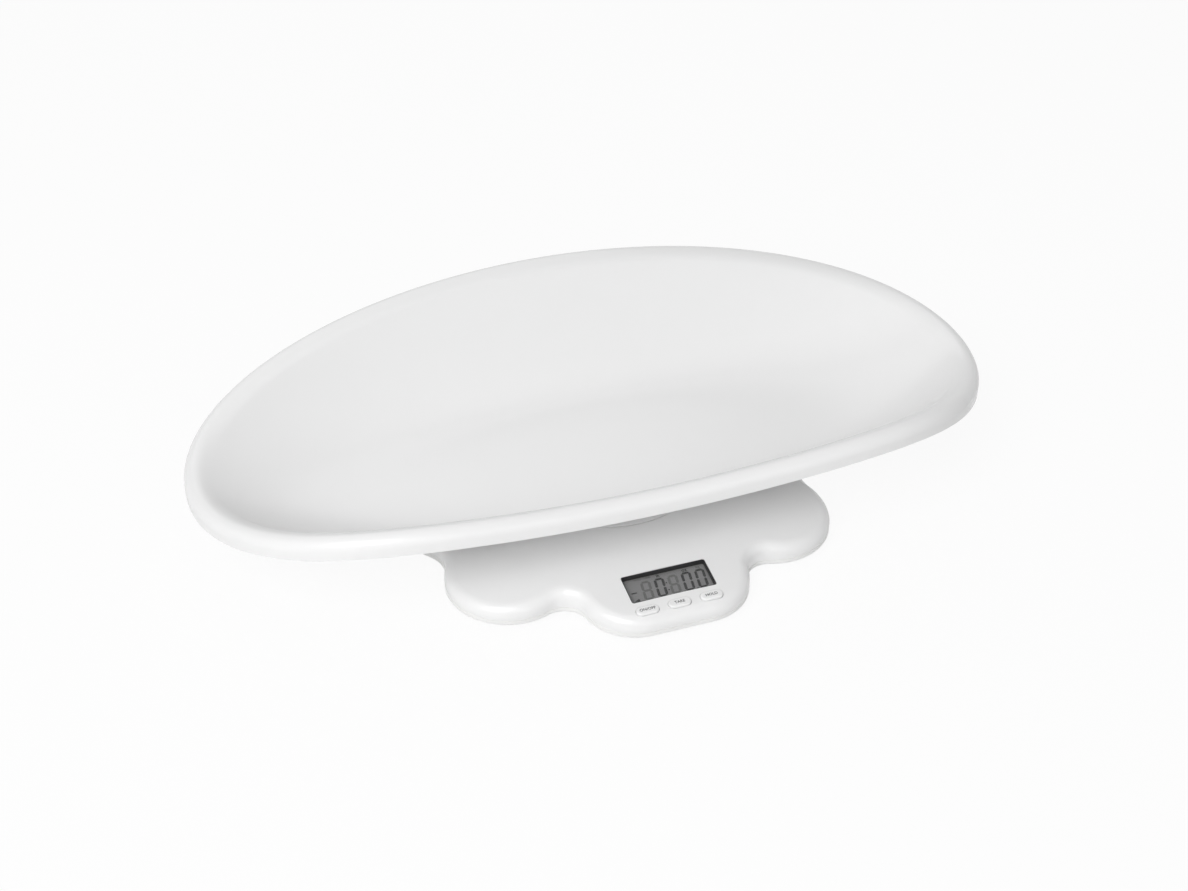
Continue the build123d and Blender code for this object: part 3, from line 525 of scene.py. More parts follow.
# Silk-screened ink on the keys: matt and dark grey, slightly uneven where it is thin.
LEGEND_INK = Finish("ink_grey_screen_printed", "3a3c3e", 0.55, tone=0.05, tone_mm=1.0, grain_mm=0.2,
                    grain=0.15)
# Natural rubber pads, compression moulded: matt with a fine speckle.
FOOT_RUBBER = Finish("rubber_grey_moulded", "5a5a58", 0.75, tone=0.12, tone_mm=3.0, grain_mm=0.4, grain=0.35)
# Silicone that joins the display to the board: dull grey, finely mottled.
ELASTOMER = Finish("silicone_contact_strip", "5a5a5e", 0.6, tone=0.2, tone_mm=0.6, grain_mm=0.2, grain=0.1)
# Zinc-plated steel screws: bluish and slightly cloudy, with a fine turned grain.
ZINC_STEEL = Metal("steel_zinc_plated_turned", "b9bcc0", 0.32, tone=0.08, tone_mm=2.0, grain_mm=0.3,
                   grain=0.15)
# Cold-rolled steel plates: a grey shine, brushed along X.
ROLLED_STEEL = Metal("steel_cold_rolled_brushed", "a9abad", 0.36, tone=0.06, tone_mm=8.0, grain_mm=0.3,
                     grain=0.2, stretch=(0.06, 1.0, 1.0))
# Milled aluminium beam of the load cell: pale, with cutter marks across its length.
MILLED_ALUMINIUM = Metal("aluminium_milled", "c8cacc", 0.34, tone=0.05, tone_mm=6.0, grain_mm=0.35,
                         grain=0.2, stretch=(1.0, 0.1, 1.0))
# Silicone sealant over the gauges: translucent white, lumpy.
SEALANT = Finish("silicone_sealant_poured", "e6e5dd", 0.35, tone=0.05, tone_mm=4.0, grain_mm=2.5, grain=0.4,
                 subsurface=0.3)
# Glass-epoxy board under green solder resist: a glossy, cloudy green.
SOLDER_RESIST = Finish("glass_epoxy_green_resist", "1c5a34", 0.3, tone=0.15, tone_mm=3.0, grain_mm=0.5,
                       grain=0.15)
# Epoxy drop over the chip, cured glossy.
CHIP_EPOXY = Finish("epoxy_black_poured", "0d0d0e", 0.15, tone=0.1, grain_mm=3.0, grain=0.1)
# Tinned cans and ceramic of the small parts: a half-bright, cloudy grey.
TINNED_CAN = Metal("steel_tinned_drawn", "a9aaac", 0.3, metallic=0.8, tone=0.1, tone_mm=2.0)
# Nickel-plated spring steel contacts: warm and bright, drawn out upwards.
NICKEL_SPRING = Metal("spring_steel_nickel_plated", "c4c0b6", 0.25, tone=0.05, tone_mm=2.0, grain_mm=0.3,
                      grain=0.1, stretch=(1.0, 1.0, 0.1))
# Soft PVC insulation of the leads: an even satin skin.
GREY_PVC = Finish("PVC_grey_extruded", "b5b5b3", 0.45, tone=0.06, tone_mm=3.0, grain_mm=1.0, grain=0.1)
RED_PVC = Finish("PVC_red_extruded", "a81f1a", 0.45, tone=0.06, tone_mm=3.0, grain_mm=1.0, grain=0.1)
# Battery cans in their printed film: dark and glossy, bright at both ends.
BATTERY_SLEEVE = CellSleeve("battery_sleeve_printed", "27303c", 0.28, grain_mm=0.5, grain=0.03)
# Clear acrylic, cut from cast sheet: hardly tinted, with a faint mirror.
CLEAR_ACRYLIC = ClearSheet("acrylic_clear_cast", "f8f8f8")


class Wardrobe:
    """Makes each finish once and hands out its material."""

    def __init__(self) -> None:
        """Starts with no material made."""
        self._made: dict[str, Material] = {}

    def get(self, finish: Finish | ClearSheet) -> Material:
        """Gives the material of a finish, made the first time it is asked for.

        Args:
            finish: the finish wanted.

        Returns:
            The material.
        """
        if finish.name not in self._made:
            self._made[finish.name] = finish.material()
        return self._made[finish.name]


# ---- repeats --------------------------------------------------------------------------------


@dataclass(frozen=True)
class Repeater:
    """Geometry Nodes tree that sets a template on the points of a mesh.

    Each point carries its turn in radians and its stretch as attributes.

    Attributes:
        name: name of the tree.
    """

    name: str = "repeat_template"

    def tree(self) -> NodeTree:
        """Builds the tree: points in, turned and stretched copies of the template out.

        Returns:
            The tree.
        """
        group = bpy.data.node_groups.new(self.name, "GeometryNodeTree")
        kinds = {"Points": "Geometry", "Template": "Object", "Size": "Float", "Finish": "Material"}
        for name, kind in kinds.items():
            group.interface.new_socket(name, in_out="INPUT", socket_type="NodeSocket" + kind)
        group.interface.new_socket("Repeats", in_out="OUTPUT", socket_type="NodeSocketGeometry")
        entry = add_node(group, "NodeGroupInput")
        template = add_node(group, "GeometryNodeObjectInfo", links={"Object": entry.outputs["Template"]})
        turn, stretch = (
            add_node(group, "GeometryNodeInputNamedAttribute", {"data_type": "FLOAT_VECTOR", "Name": name})
            for name in ("turn", "stretch")
        )
        scale = add_node(group, "ShaderNodeVectorMath", {"operation": "SCALE"}, {
            0: stretch.outputs[0], "Scale": entry.outputs["Size"]})
        copies = add_node(group, "GeometryNodeInstanceOnPoints", links={
            "Points": entry.outputs["Points"], "Instance": template.outputs["Geometry"],
            "Rotation": turn.outputs[0], "Scale": scale.outputs[0]})
        real = add_node(group, "GeometryNodeRealizeInstances", links={0: copies.outputs[0]})
        painted = add_node(group, "GeometryNodeSetMaterial", links={
            "Geometry": real.outputs[0], "Material": entry.outputs["Finish"]})
        add_node(group, "NodeGroupOutput", links={0: painted.outputs[0]})
        return group

    def place(self, name: str, template: Object, spots: Sequence[Spot], finish: Material) -> Object:
        """Sets the template on every spot and turns the result into one plain mesh.

        Args:
            name: name of the new piece.
            template: object to repeat; it is removed afterwards.
            spots: place in millimetres, turn in radians and stretch of each copy.
            finish: material of the copies.

        Returns:
            The piece, at the origin.
        """
        mesh = bpy.data.meshes.new(name + "_points")
        mesh.from_pydata([[c * MM for c in spot[0]] for spot in spots], [], [])
        for index, label in ((1, "turn"), (2, "stretch")):
            attribute = mesh.attributes.new(label, "FLOAT_VECTOR", "POINT")
            attribute.data.foreach_set("vector", [c for spot in spots for c in spot[index]])
        carrier = scene_object(name + "_points", mesh)
        group = bpy.data.node_groups.get(self.name) or self.tree()
        modifier = carrier.modifiers.new("repeat", "NODES")
        modifier.node_group = group
        inputs = [item for item in group.interface.items_tree if item.in_out == "INPUT"]
        sockets = {item.name: item.identifier for item in inputs}
        modifier[sockets["Template"]] = template
        modifier[sockets["Size"]] = 1.0
        modifier[sockets["Finish"]] = finish
        piece = baked_copy(name, carrier)
        bpy.data.objects.remove(template)
        return piece


def prism(name: str, outline: Sequence[tuple[float, float]], thickness: float) -> Object:
    """Raises an anticlockwise outline from height 0.

    Args:
        name: name of the object.
        outline: corners in millimetres, anticlockwise from above.
        thickness: how far it is raised, in millimetres.

    Returns:
        A closed flat solid.
    """
    count = len(outline)
    vertices = [(x, y, z) for z in (0, thickness) for x, y in outline]
    faces = [tuple(reversed(range(count))), tuple(range(count, 2 * count))]
    faces += [(i, (i + 1) % count, (i + 1) % count + count, i + count) for i in range(count)]
    return solid_from(name, vertices, faces)


def lettering(name: str, text: str, capital: float, thickness: float, weight: float) -> Object:
    """Makes flat raised lettering, centred on the origin in the XY plane, its underside at height 0.

    Args:
        name: name of the piece.
        text: the letters.
        capital: height of a capital, in millimetres.
        thickness: how far the letters stand up, in millimetres.
        weight: how much each edge of a stroke is moved out, in millimetres.

    Returns:
        The lettering as a mesh.
    """
    capital_share = 0.69  # height of a capital in the built-in font, for a size of 1
    steps_per_curve = 3
    curve = bpy.data.curves.new(name, "FONT")
    curve.body = text
    curve.size = capital / capital_share * MM
    curve.align_x, curve.align_y = "CENTER", "CENTER"
    curve.extrude = thickness / 2 * MM
    curve.offset = weight * MM
    curve.resolution_u = steps_per_curve
    piece = baked_copy(name, scene_object(name, curve))
    piece.data.transform(Matrix.Translation((0, 0, thickness / 2 * MM)))
    return piece


# ---- sub-assemblies -------------------------------------------------------------------------


@dataclass
class SubAssembly:
    """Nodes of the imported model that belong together, with the finish of each.

    Attributes:
        nodes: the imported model's objects by node name.
        wardrobe: gives the materials.
    """

    nodes: dict[str, Object]
    wardrobe: Wardrobe

    finishes: ClassVar[dict[str, Finish | ClearSheet]] = {}

    def dress(self) -> None:
        """Gives each node the material of its finish."""
        for node, finish in self.finishes.items():
            dress(self.nodes[node], self.wardrobe.get(finish))

    def build(self) -> list[Object]:
        """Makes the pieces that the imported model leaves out; by default there are none."""
        return []


@dataclass
class Tray(SubAssembly):
    """The lift-off dish: a moulded shell whose wall turns over into a broad soft rim.

    Angles run round the tray from its right end over the back. A section point is given by its
    reach outwards and upwards from the centre of the rolled edge.

    Attributes:
        length: over the rolled edge.
        centre: middle of the rim before its ends are set back, from the platform's axis.
        half_depth: half the rim's depth.
        squareness: third harmonic of the plan.
        back_swell: second harmonic of the plan; the rim is longer behind.
        end_setback: how far the ends lie in front of the centre, and the long sides behind it.
        height: mean height of the roll's centre.
        saddle: how far the long sides stand above the mean, and the ends below it.
        back_rise: what the back edge gains in height, and the front edge loses.
        roll: outside radius of the rolled edge.
        skirt: straight skirt below the centre of the roll.
        skirt_rows: heights of its rows of points, as shares of it from the top.
        wall: thickness of the shell.
        floor: half length, half depth, middle and height of the flat floor.
        foot: section point where the dish wall turns into the rim, at the back.
        curve: power law of the wall at the front and back, and what the ends add to it.
        ease: how far the wall's rise is evened out, and what the front adds to it.
        lean: length of the rim's tangents where wall and crest meet it, at the back.
        tighten: what the front adds to the foot's reach and height and to the lean.
        stations: steps round the tray, over the wall, over the inner rim and round the roll.
        seat: middle radius and width of the ring under the floor.
        seat_steps: steps round the ring; a peg has a third of them.
        seat_z: height of the ring's lower edge.
        pegs: circle radius, radius, length below the ring and count of the pegs.
        first_peg: place of the first peg round the axis, in degrees.
        crease: angle between faces from which an edge shows as sharp, in degrees.
    """

    length: float = 550.0
    centre: float = -10.3
    half_depth: float = 128.7
    squareness: float = -0.063
    back_swell: float = 0.159
    end_setback: float = 33.0
    height: float = 73.2
    saddle: float = 10.6
    back_rise: float = 9.8
    roll: float = 7.2
    skirt: float = 6.0
    skirt_rows: tuple[float, ...] = (0.0, 0.3, 0.6, 1.0)
    wall: float = 2.6
    floor: tuple[float, float, float, float] = (112.0, 54.0, 8.0, 32.2)
    foot: tuple[float, float] = (-12.0, 3.0)
    curve: tuple[float, float] = (2.0, 1.8)
    ease: tuple[float, float] = (0.5, 2.5)
    lean: float = 11.0
    tighten: tuple[float, float, float] = (2.0, -2.0, -3.0)
    stations: tuple[int, int, int, int] = (288, 26, 14, 14)
    seat: tuple[float, float] = (49.5, 2.6)
    seat_steps: int = 96
    seat_z: float = 25.5
    pegs: tuple[float, float, float, int] = (38.0, 3.6, 1.6, 4)
    first_peg: float = 45.0
    crease: float = 35.0

    finishes: ClassVar[dict[str, Finish]] = {"tray": WHITE_ABS}

    def reach(self, angle: float) -> float:
        """Gives the plan X of the rim before scaling."""
        return math.cos(angle) + self.squareness * math.cos(3 * angle) + self.back_swell * math.sin(2 * angle)

    def rim(self, angle: float) -> Vector:
        """Gives the centre of the rolled edge.

        Args:
            angle: place round the tray.

        Returns:
            The point, in millimetres.
        """
        widest = max(self.reach(math.radians(a)) for a in range(360))
        x = (self.length / 2 - self.roll) / widest * self.reach(angle)
        y = self.centre + self.half_depth * math.sin(angle) - self.end_setback * math.cos(2 * angle)
        z = self.height - self.saddle * math.cos(2 * angle) - self.back_rise * math.sin(3 * angle)
        return Vector((x, y, z))

    def section(self, angle: float) -> list[Vector]:
        """Runs over the visible side from the edge of the floor to the foot of the skirt.

        Args:
            angle: place round the tray.

        Returns:
            Points in millimetres.
        """
        small_turn = 0.001
        along = (self.rim(angle + small_turn) - self.rim(angle - small_turn)) / (2 * small_turn)
        level = Vector((along.x, along.y, 0)).normalized()
        outward = Vector((level.y, -level.x, 0))
        rim = self.rim(angle)
        half_length, half_depth, middle, floor_z = self.floor
        edge = Vector((half_length * math.cos(angle), middle + half_depth * math.sin(angle), floor_z))
        front = (1 - math.sin(angle)) / 2
        base = Vector(self.foot) + Vector(self.tighten[:2]) * front
        lean = self.lean + self.tighten[2] * front
        foot = rim + outward * base.x + Vector((0, 0, base.y))
        across, rise = foot - edge, foot.z - floor_z
        across.z = 0
        power = self.curve[0] + self.curve[1] * math.cos(angle) ** 2
        ease = self.ease[0] + self.ease[1] * max(0.0, -math.sin(angle)) ** 2
        points = []
        _, wall_steps, rim_steps, roll_steps = self.stations
        # The wall: it leaves the floor level and rises by the power law, evened out by the ease.
        for index in range(wall_steps):
            share = index / wall_steps
            lift = (1 + ease) * share**power / (1 + ease * share)
            points.append(edge + across * share + Vector((0, 0, rise * lift)))
        # How steeply the wall arrives at the foot, seen straight outwards.
        climb = rise * (power - ease / (1 + ease))
        climb -= across.dot(level) * along.z / along.dot(level)
        start = Vector((across.dot(outward), climb)).normalized() * lean
        crest = Vector((0, self.roll))
        # The soft inner rim: a Hermite curve that leaves along the wall and lies level at the crest.
        for index in range(rim_steps):
            t = index / rim_steps
            place = base * (2 * t**3 - 3 * t**2 + 1) + start * (t**3 - 2 * t**2 + t)
            place += crest * (3 * t**2 - 2 * t**3) + Vector((lean, 0)) * (t**3 - t**2)
            points.append(rim + outward * place.x + Vector((0, 0, place.y)))
        # The roll, a quarter of a circle, and the straight skirt below it.
        for index in range(roll_steps):
            turn = math.pi / 2 * (1 - index / roll_steps)
            points.append(rim + (outward * math.cos(turn) + Vector((0, 0, math.sin(turn)))) * self.roll)
        edge_of_roll = rim + outward * self.roll
        points += [edge_of_roll - Vector((0, 0, self.skirt * share)) for share in self.skirt_rows]
        return points

    def shell(self) -> Object:
        """Sets the sections round the tray and gives them their wall thickness.

        Returns:
            A closed solid.
        """
        count = self.stations[0]
        rows = [self.section(2 * math.pi * i / count) for i in range(count)]
        width = len(rows[0])
        under = []
        for i in range(count):
            before, after = rows[i - 1], rows[(i + 1) % count]
            for j, point in enumerate(rows[i]):
                across = rows[i][min(j + 1, width - 1)] - rows[i][max(j - 1, 0)]
                normal = across.cross(after[j] - before[j]).normalized() if j else Vector((0, 0, 1))
                under.append(point - normal * self.wall)
        vertices = [point for row in rows for point in row] + under
        below, last = count * width, width - 1
        starts = [i * width for i in range(count)]
        faces = [tuple(starts), tuple(below + start for start in reversed(starts))]

        def strip(a: int, b: int) -> list[tuple[int, ...]]:
            """Fills the band between the rows of points that start at two vertices."""
            return [(a + j, a + j + 1, b + j + 1, b + j) for j in range(last)]

        for i, a in enumerate(starts):
            b = starts[(i + 1) % count]
            lip = (a + last, below + a + last, below + b + last, b + last)
            faces += [*strip(a, b), *strip(below + b, below + a), lip]
        return solid_from("tray_shell", vertices, faces)

    def seating(self) -> list[Object]:
        """Makes the ring that stands on the platform and the pegs that drop into it.

        Returns:
            The ring and the pegs.
        """
        radius, width = self.seat
        inner, outer = radius - width / 2, radius + width / 2
        circle_radius, peg_radius, drop, count = self.pegs
        top = self.floor[3] - self.wall / 3  # within the floor, so that the solids overlap
        n = self.seat_steps
        turns = [2 * math.pi * i / n for i in range(n)]
        corners = [(outer, self.seat_z), (outer, top), (inner, top), (inner, self.seat_z)]
        points = [(r * math.cos(a), r * math.sin(a), z) for r, z in corners for a in turns]
        faces = []
        for corner in range(len(corners)):
            a, b = corner * n, (corner + 1) % len(corners) * n
            faces += [(a + i, a + (i + 1) % n, b + (i + 1) % n, b + i) for i in range(n)]
        ring = solid_from("tray_seat_ring", points, faces)
        outline = [(peg_radius * math.cos(a), peg_radius * math.sin(a)) for a in turns[::3]]
        foot = self.seat_z - drop
        peg = prism("tray_peg_template", outline, top - foot)
        spots = []
        for i in range(count):
            a = math.radians(self.first_peg + 360 * i / count)
            place = (circle_radius * math.cos(a), circle_radius * math.sin(a), foot)
            spots.append((place, (0.0, 0.0, a), FULL_SIZE))
        return [ring, Repeater().place("tray_pegs", peg, spots, self.wardrobe.get(WHITE_ABS))]

    def build(self) -> list[Object]:
        """Joins shell, ring and pegs into one moulding.

        Returns:
            The tray.
        """
        tray = self.shell()
        joined = self.seating()
        for extra in joined:
            fuse = tray.modifiers.new(extra.name, "BOOLEAN")
            fuse.operation, fuse.solver, fuse.object = "UNION", "EXACT", extra
        piece = baked_copy("tray_moulding", tray)
        for extra in joined:
            bpy.data.objects.remove(extra)
        piece.data.transform(Matrix.Translation((0, AXIS_Y * MM, 0)))
        piece.data.polygons.foreach_set("use_smooth", [True] * len(piece.data.polygons))
        piece.data.set_sharp_from_angle(angle=math.radians(self.crease))
        dress(piece, self.wardrobe.get(WHITE_ABS))
        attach(piece, Body.TRAY.value)
        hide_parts("tray")
        return [piece]


@dataclass
class WeighingMechanism(SubAssembly):
    """Platform, its bracket and the load cell under it."""

    finishes: ClassVar[dict[str, Finish]] = {
        "platform": WHITE_ABS,
        "platform_bracket": ROLLED_STEEL,
        "platform_screws": ZINC_STEEL,
        "upper_spacer": ROLLED_STEEL,
        "load_cell_upper_screws": ZINC_STEEL,
        "load_cell": MILLED_ALUMINIUM,
        "gauge_potting": SEALANT,
        "lower_spacer": ROLLED_STEEL,
        "load_cell_lower_screws": ZINC_STEEL,
        "load_cell_base_plate": ROLLED_STEEL,
        "base_plate_screws": ZINC_STEEL,
        "load_cell_wires": GREY_PVC,
    }


@dataclass
class Housing(SubAssembly):
    """Both halves of the lobed base, the feet and the case screws with their cross recesses.

    Attributes:
        recess_span: length of each bar of the cross.
        recess_width: width of a bar.
        recess_depth: depth of the cross in the head.
        turn_step: how far each cross is turned from the one before, in radians.
    """

    recess_span: float = 3.6
    recess_width: float = 0.9
    recess_depth: float = 1.2
    turn_step: float = 0.7

    finishes: ClassVar[dict[str, Finish]] = {
        "top_cover": WHITE_ABS,
        "bottom_cover": WHITE_ABS_SATIN,
        "case_screws": ZINC_STEEL,
        "rubber_feet": FOOT_RUBBER,
    }

    def cross_template(self) -> Object:
        """Draws the cross as a prism that is cut into a head, its middle at height 0.

        Returns:
            The prism.
        """
        long, wide = self.recess_span / 2, self.recess_width / 2
        outline = [
            (wide, wide), (wide, long), (-wide, long), (-wide, wide), (-long, wide), (-long, -wide),
            (-wide, -wide), (-wide, -long), (wide, -long), (wide, -wide), (long, -wide), (long, wide),
        ]
        cross = prism("cross_template", outline, 2 * self.recess_depth)
        cross.data.transform(Matrix.Translation((0, 0, -self.recess_depth * MM)))
        return cross

    def build(self) -> list[Object]:
        """Cuts a cross into the head of each case screw, each turned as it was left by the driver.

        Returns:
            The screws with their recesses.
        """
        steel = self.wardrobe.get(ZINC_STEEL)
        screws = merged_copy("case_screws_crossed", self.nodes["case_screws"])
        spots = []
        for index, corners in enumerate(islands(screws)):
            low, high = (
                [limit(corner[axis] for corner in corners) / MM for axis in range(3)] for limit in (min, max)
            )
            head = ((low[0] + high[0]) / 2, (low[1] + high[1]) / 2, low[2])
            spots.append((head, (0.0, 0.0, self.turn_step * index), FULL_SIZE))
        cutter = Repeater().place("case_screw_crosses", self.cross_template(), spots, steel)
        carve = screws.modifiers.new("recess", "BOOLEAN")
        carve.operation, carve.solver, carve.object = "DIFFERENCE", "EXACT", cutter
        piece = baked_copy("case_screws_with_recess", screws)
        bpy.data.objects.remove(cutter)
        dress(piece, steel)
        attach(piece, Body.BASE.value)
        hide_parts("case_screws")
        return [piece]


@dataclass
class BatteryBay(SubAssembly):
    """Four cells, their contacts, their leads and the door over them."""

    finishes: ClassVar[dict[str, Finish]] = {
        "battery_door": WHITE_ABS_SATIN,
        "batteries": BATTERY_SLEEVE,
        "battery_contact_plates": NICKEL_SPRING,
        "battery_contact_springs": NICKEL_SPRING,
        "battery_wires": RED_PVC,
    }


@dataclass
class DisplayPanel(SubAssembly):
    """Display behind its window, with the board that drives it and the marks on its glass.

    Places are millimetres on the panel, X to the right and Y up the slope.

    Attributes:
        panel: plane on which everything is set out.
        digit_x: middle of each digit place.
        digit_y: middle height of the digits.
        digit_width: distance between the upright segments of a digit.
        segment: length of an upright segment.
        stroke: width of an upright segment.
        flat_stroke: width of a level segment as a share of that.
        gap: free length between the ends of two segments.
        slant: how far the digits lean to the right, per unit of height.
        level: height of the display glass, from the panel.
        thickness: thickness of a mark.
        lit: digit places that show a nought; the others show all segments faintly.
        dot: half the side of a point.
        points: places of the colon's two points and of the decimal point.
        minus: middle of the minus sign.
        minus_half: half its length and half its width.
        pointer: corners of the triangle beside the lowest row.
        word_weight: how much the strokes of the words are thickened.
        words: unit and state words: text, place, height of a capital and whether they are on.
    """

    panel: Panel = Panel()
    digit_x: tuple[float, ...] = (-14.1, -5.0, 4.1, 13.2, 22.4)
    digit_y: float = -0.4
    digit_width: float = 5.0
    segment: float = 6.8
    stroke: float = 1.75
    flat_stroke: float = 0.95
    gap: float = 0.25
    slant: float = 0.125
    level: float = -4.3
    thickness: float = 0.04
    lit: tuple[int, ...] = (1, 3, 4)
    dot: float = 0.5
    points: tuple[tuple[float, float], ...] = ((-0.35, 2.3), (-0.75, -3.7), (17.3, -7.6))
    minus: tuple[float, float] = (-22.9, -0.4)
    minus_half: tuple[float, float] = (1.8, 0.5)
    pointer: tuple[tuple[float, float], ...] = ((-24.8, -6.9), (-21.2, -8.4), (-21.4, -5.6))
    word_weight: float = 0.08
    words: tuple[tuple[str, float, float, float, bool], ...] = (
        ("lb", -3.6, 9.3, 2.2, True),
        ("oz", 14.2, 9.3, 2.6, True),
        ("kg", 23.4, 9.3, 2.0, False),
        ("HOLD TARE", -14.2, 9.9, 1.4, False),
    )

    finishes: ClassVar[dict[str, Finish | ClearSheet]] = {
        "display_lens": CLEAR_ACRYLIC,
        "lcd_glass": DISPLAY_CELL,
        "lcd_holder": BLACK_ABS,
        "lcd_contact_strips": ELASTOMER,
        "main_pcb": SOLDER_RESIST,
        "pcb_screws": ZINC_STEEL,
        "chip_blob": CHIP_EPOXY,
        "board_components": TINNED_CAN,
    }

    def segment_template(self) -> Object:
        """Draws one segment with pointed ends, along X.

        Returns:
            The segment.
        """
        half, wide = self.segment / 2, self.stroke / 2
        outline = [
            (-half, 0), (-half + wide, -wide), (half - wide, -wide),
            (half, 0), (half - wide, wide), (-half + wide, wide),
        ]
        return prism("segment_template", outline, self.thickness)

    def digit_spots(self, places: Iterable[int], middle: bool) -> list[Spot]:
        """Lists the segments of some digit places.

        Args:
            places: numbers of the digit places.
            middle: whether the middle segment shows.

        Returns:
            Place, turn and stretch of each segment.
        """
        row = self.segment + self.gap
        upright = math.pi / 2 - math.atan(self.slant)
        across = ((self.digit_width - self.gap) / self.segment, self.flat_stroke, 1.0)
        segments = [
            (side * self.digit_width / 2, half * row / 2, upright, FULL_SIZE)
            for side in (-1, 1) for half in (-1, 1)
        ]
        segments += [(0.0, height * row, 0.0, across) for height in ((-1, 0, 1) if middle else (-1, 1))]
        return [
            ((self.digit_x[place] + x + y * self.slant, self.digit_y + y, 0.0), (0.0, 0.0, turn), stretch)
            for place in places for x, y, turn, stretch in segments
        ]

    def bar(self, name: str, x: float, y: float, half: tuple[float, float]) -> Object:
        """Draws a rectangle as thick as a mark.

        Args:
            name: name of the piece.
            x: middle of it to the right.
            y: middle of it up the slope.
            half: half its length and half its width.

        Returns:
            The rectangle.
        """
        corners = ((-1, -1), (1, -1), (1, 1), (-1, 1))
        outline = [(x + right * half[0], y + up * half[1]) for right, up in corners]
        return prism(name, outline, self.thickness)

    def signs(self) -> list[Object]:
        """Makes the points, the minus sign and the pointer.

        Returns:
            The signs, flat about the origin.
        """
        dark = self.wardrobe.get(MARK_DARK)
        dot = self.bar("dot_template", 0.0, 0.0, (self.dot, self.dot))
        spots = [((*point, 0.0), NO_TURN, FULL_SIZE) for point in self.points]
        points = Repeater().place("display_points", dot, spots, dark)
        minus = self.bar("display_minus", *self.minus, self.minus_half)
        pointer = prism("display_pointer", self.pointer, self.thickness)
        for piece in (minus, pointer):
            dress(piece, dark)
        return [points, minus, pointer]

    def build(self) -> list[Object]:
        """Makes the marks and sets them on the glass.

        Returns:
            The finished marks.
        """
        dark, faint = self.wardrobe.get(MARK_DARK), self.wardrobe.get(MARK_FAINT)
        unlit = [place for place in range(len(self.digit_x)) if place not in self.lit]
        pieces = []
        for name, places, middle, finish in (
            ("display_digits_lit", self.lit, False, dark),
            ("display_digits_faint", unlit, True, faint),
        ):
            spots = self.digit_spots(places, middle)
            pieces.append(Repeater().place(name, self.segment_template(), spots, finish))
        pieces += self.signs()
        for text, x, y, capital, is_on in self.words:
            name = "display_" + text.replace(" ", "_").lower()
            piece = lettering(name, text, capital, self.thickness, self.word_weight)
            piece.data.transform(Matrix.Translation((x * MM, y * MM, 0)))
            dress(piece, dark if is_on else faint)
            pieces.append(piece)
        for piece in pieces:
            self.panel.carry(piece, 0.0, 0.0, self.level)
            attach(piece, Body.BASE.value)
        return pieces


@dataclass
class Keys(SubAssembly):
    """Three keys with their switches and the words printed on them.

    Attributes:
        panel: plane on which the keys are set out.
        pitch: distance between the keys.
        panel_y: how far the keys lie from the middle of the window, up the slope.
        top: height of the key tops over the panel.
        capital: height of a capital.
        weight: how much the strokes are thickened.
        ink: thickness of the print.
        words: word of each key, with its place in pitches and its body.
    """

    panel: Panel = Panel()
    pitch: float = 21.3
    panel_y: float = -19.4
    top: float = 1.1
    capital: float = 2.0
    weight: float = 0.05
    ink: float = 0.02
    words: tuple[tuple[str, float, Body], ...] = (
        ("ON/OFF", -1.0, Body.KEY_ON_OFF), ("TARE", 0.0, Body.KEY_TARE), ("HOLD", 1.0, Body.KEY_HOLD))

    finishes: ClassVar[dict[str, Finish]] = {
        "button_on_off": WHITE_ABS,
        "button_tare": WHITE_ABS,
        "button_hold": WHITE_ABS,
        "switch_plunger_on_off": BLACK_ABS,
        "switch_plunger_tare": BLACK_ABS,
        "switch_plunger_hold": BLACK_ABS,
        "tact_switches": BLACK_ABS,
    }

    def build(self) -> list[Object]:
        """Prints each word on its key.

        Returns:
            The words.
        """
        pieces = []
        for text, place, body in self.words:
            piece = lettering("legend_" + body.value, text, self.capital, self.ink, self.weight)
            self.panel.carry(piece, place * self.pitch, self.panel_y, self.top)
            dress(piece, self.wardrobe.get(LEGEND_INK))
            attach(piece, body.value)
            pieces.append(piece)
        return pieces


# ---- studio ---------------------------------------------------------------------------------


@dataclass(frozen=True)
class Softbox:
    """Large rectangular lamp that points at the scale.

    Attributes:
        name: name of the lamp.
        place: where it stands, in metres.
        size: width and height, in metres.
        power: watts.
    """

    name: str
    place: tuple[float, float, float]
    size: tuple[float, float]
    power: float

    def build(self, target: Vector) -> None:
        """Sets up the lamp.

        Args:
            target: point that it faces, in metres.
        """
        lamp = bpy.data.lights.new(self.name, "AREA")
        lamp.shape = "RECTANGLE"
        lamp.size, lamp.size_y = self.size
        lamp.energy = self.power
        turn = (target - Vector(self.place)).to_track_quat("-Z", "Y").to_matrix().to_4x4()
        scene_object(self.name, lamp).matrix_world = Matrix.Translation(self.place) @ turn


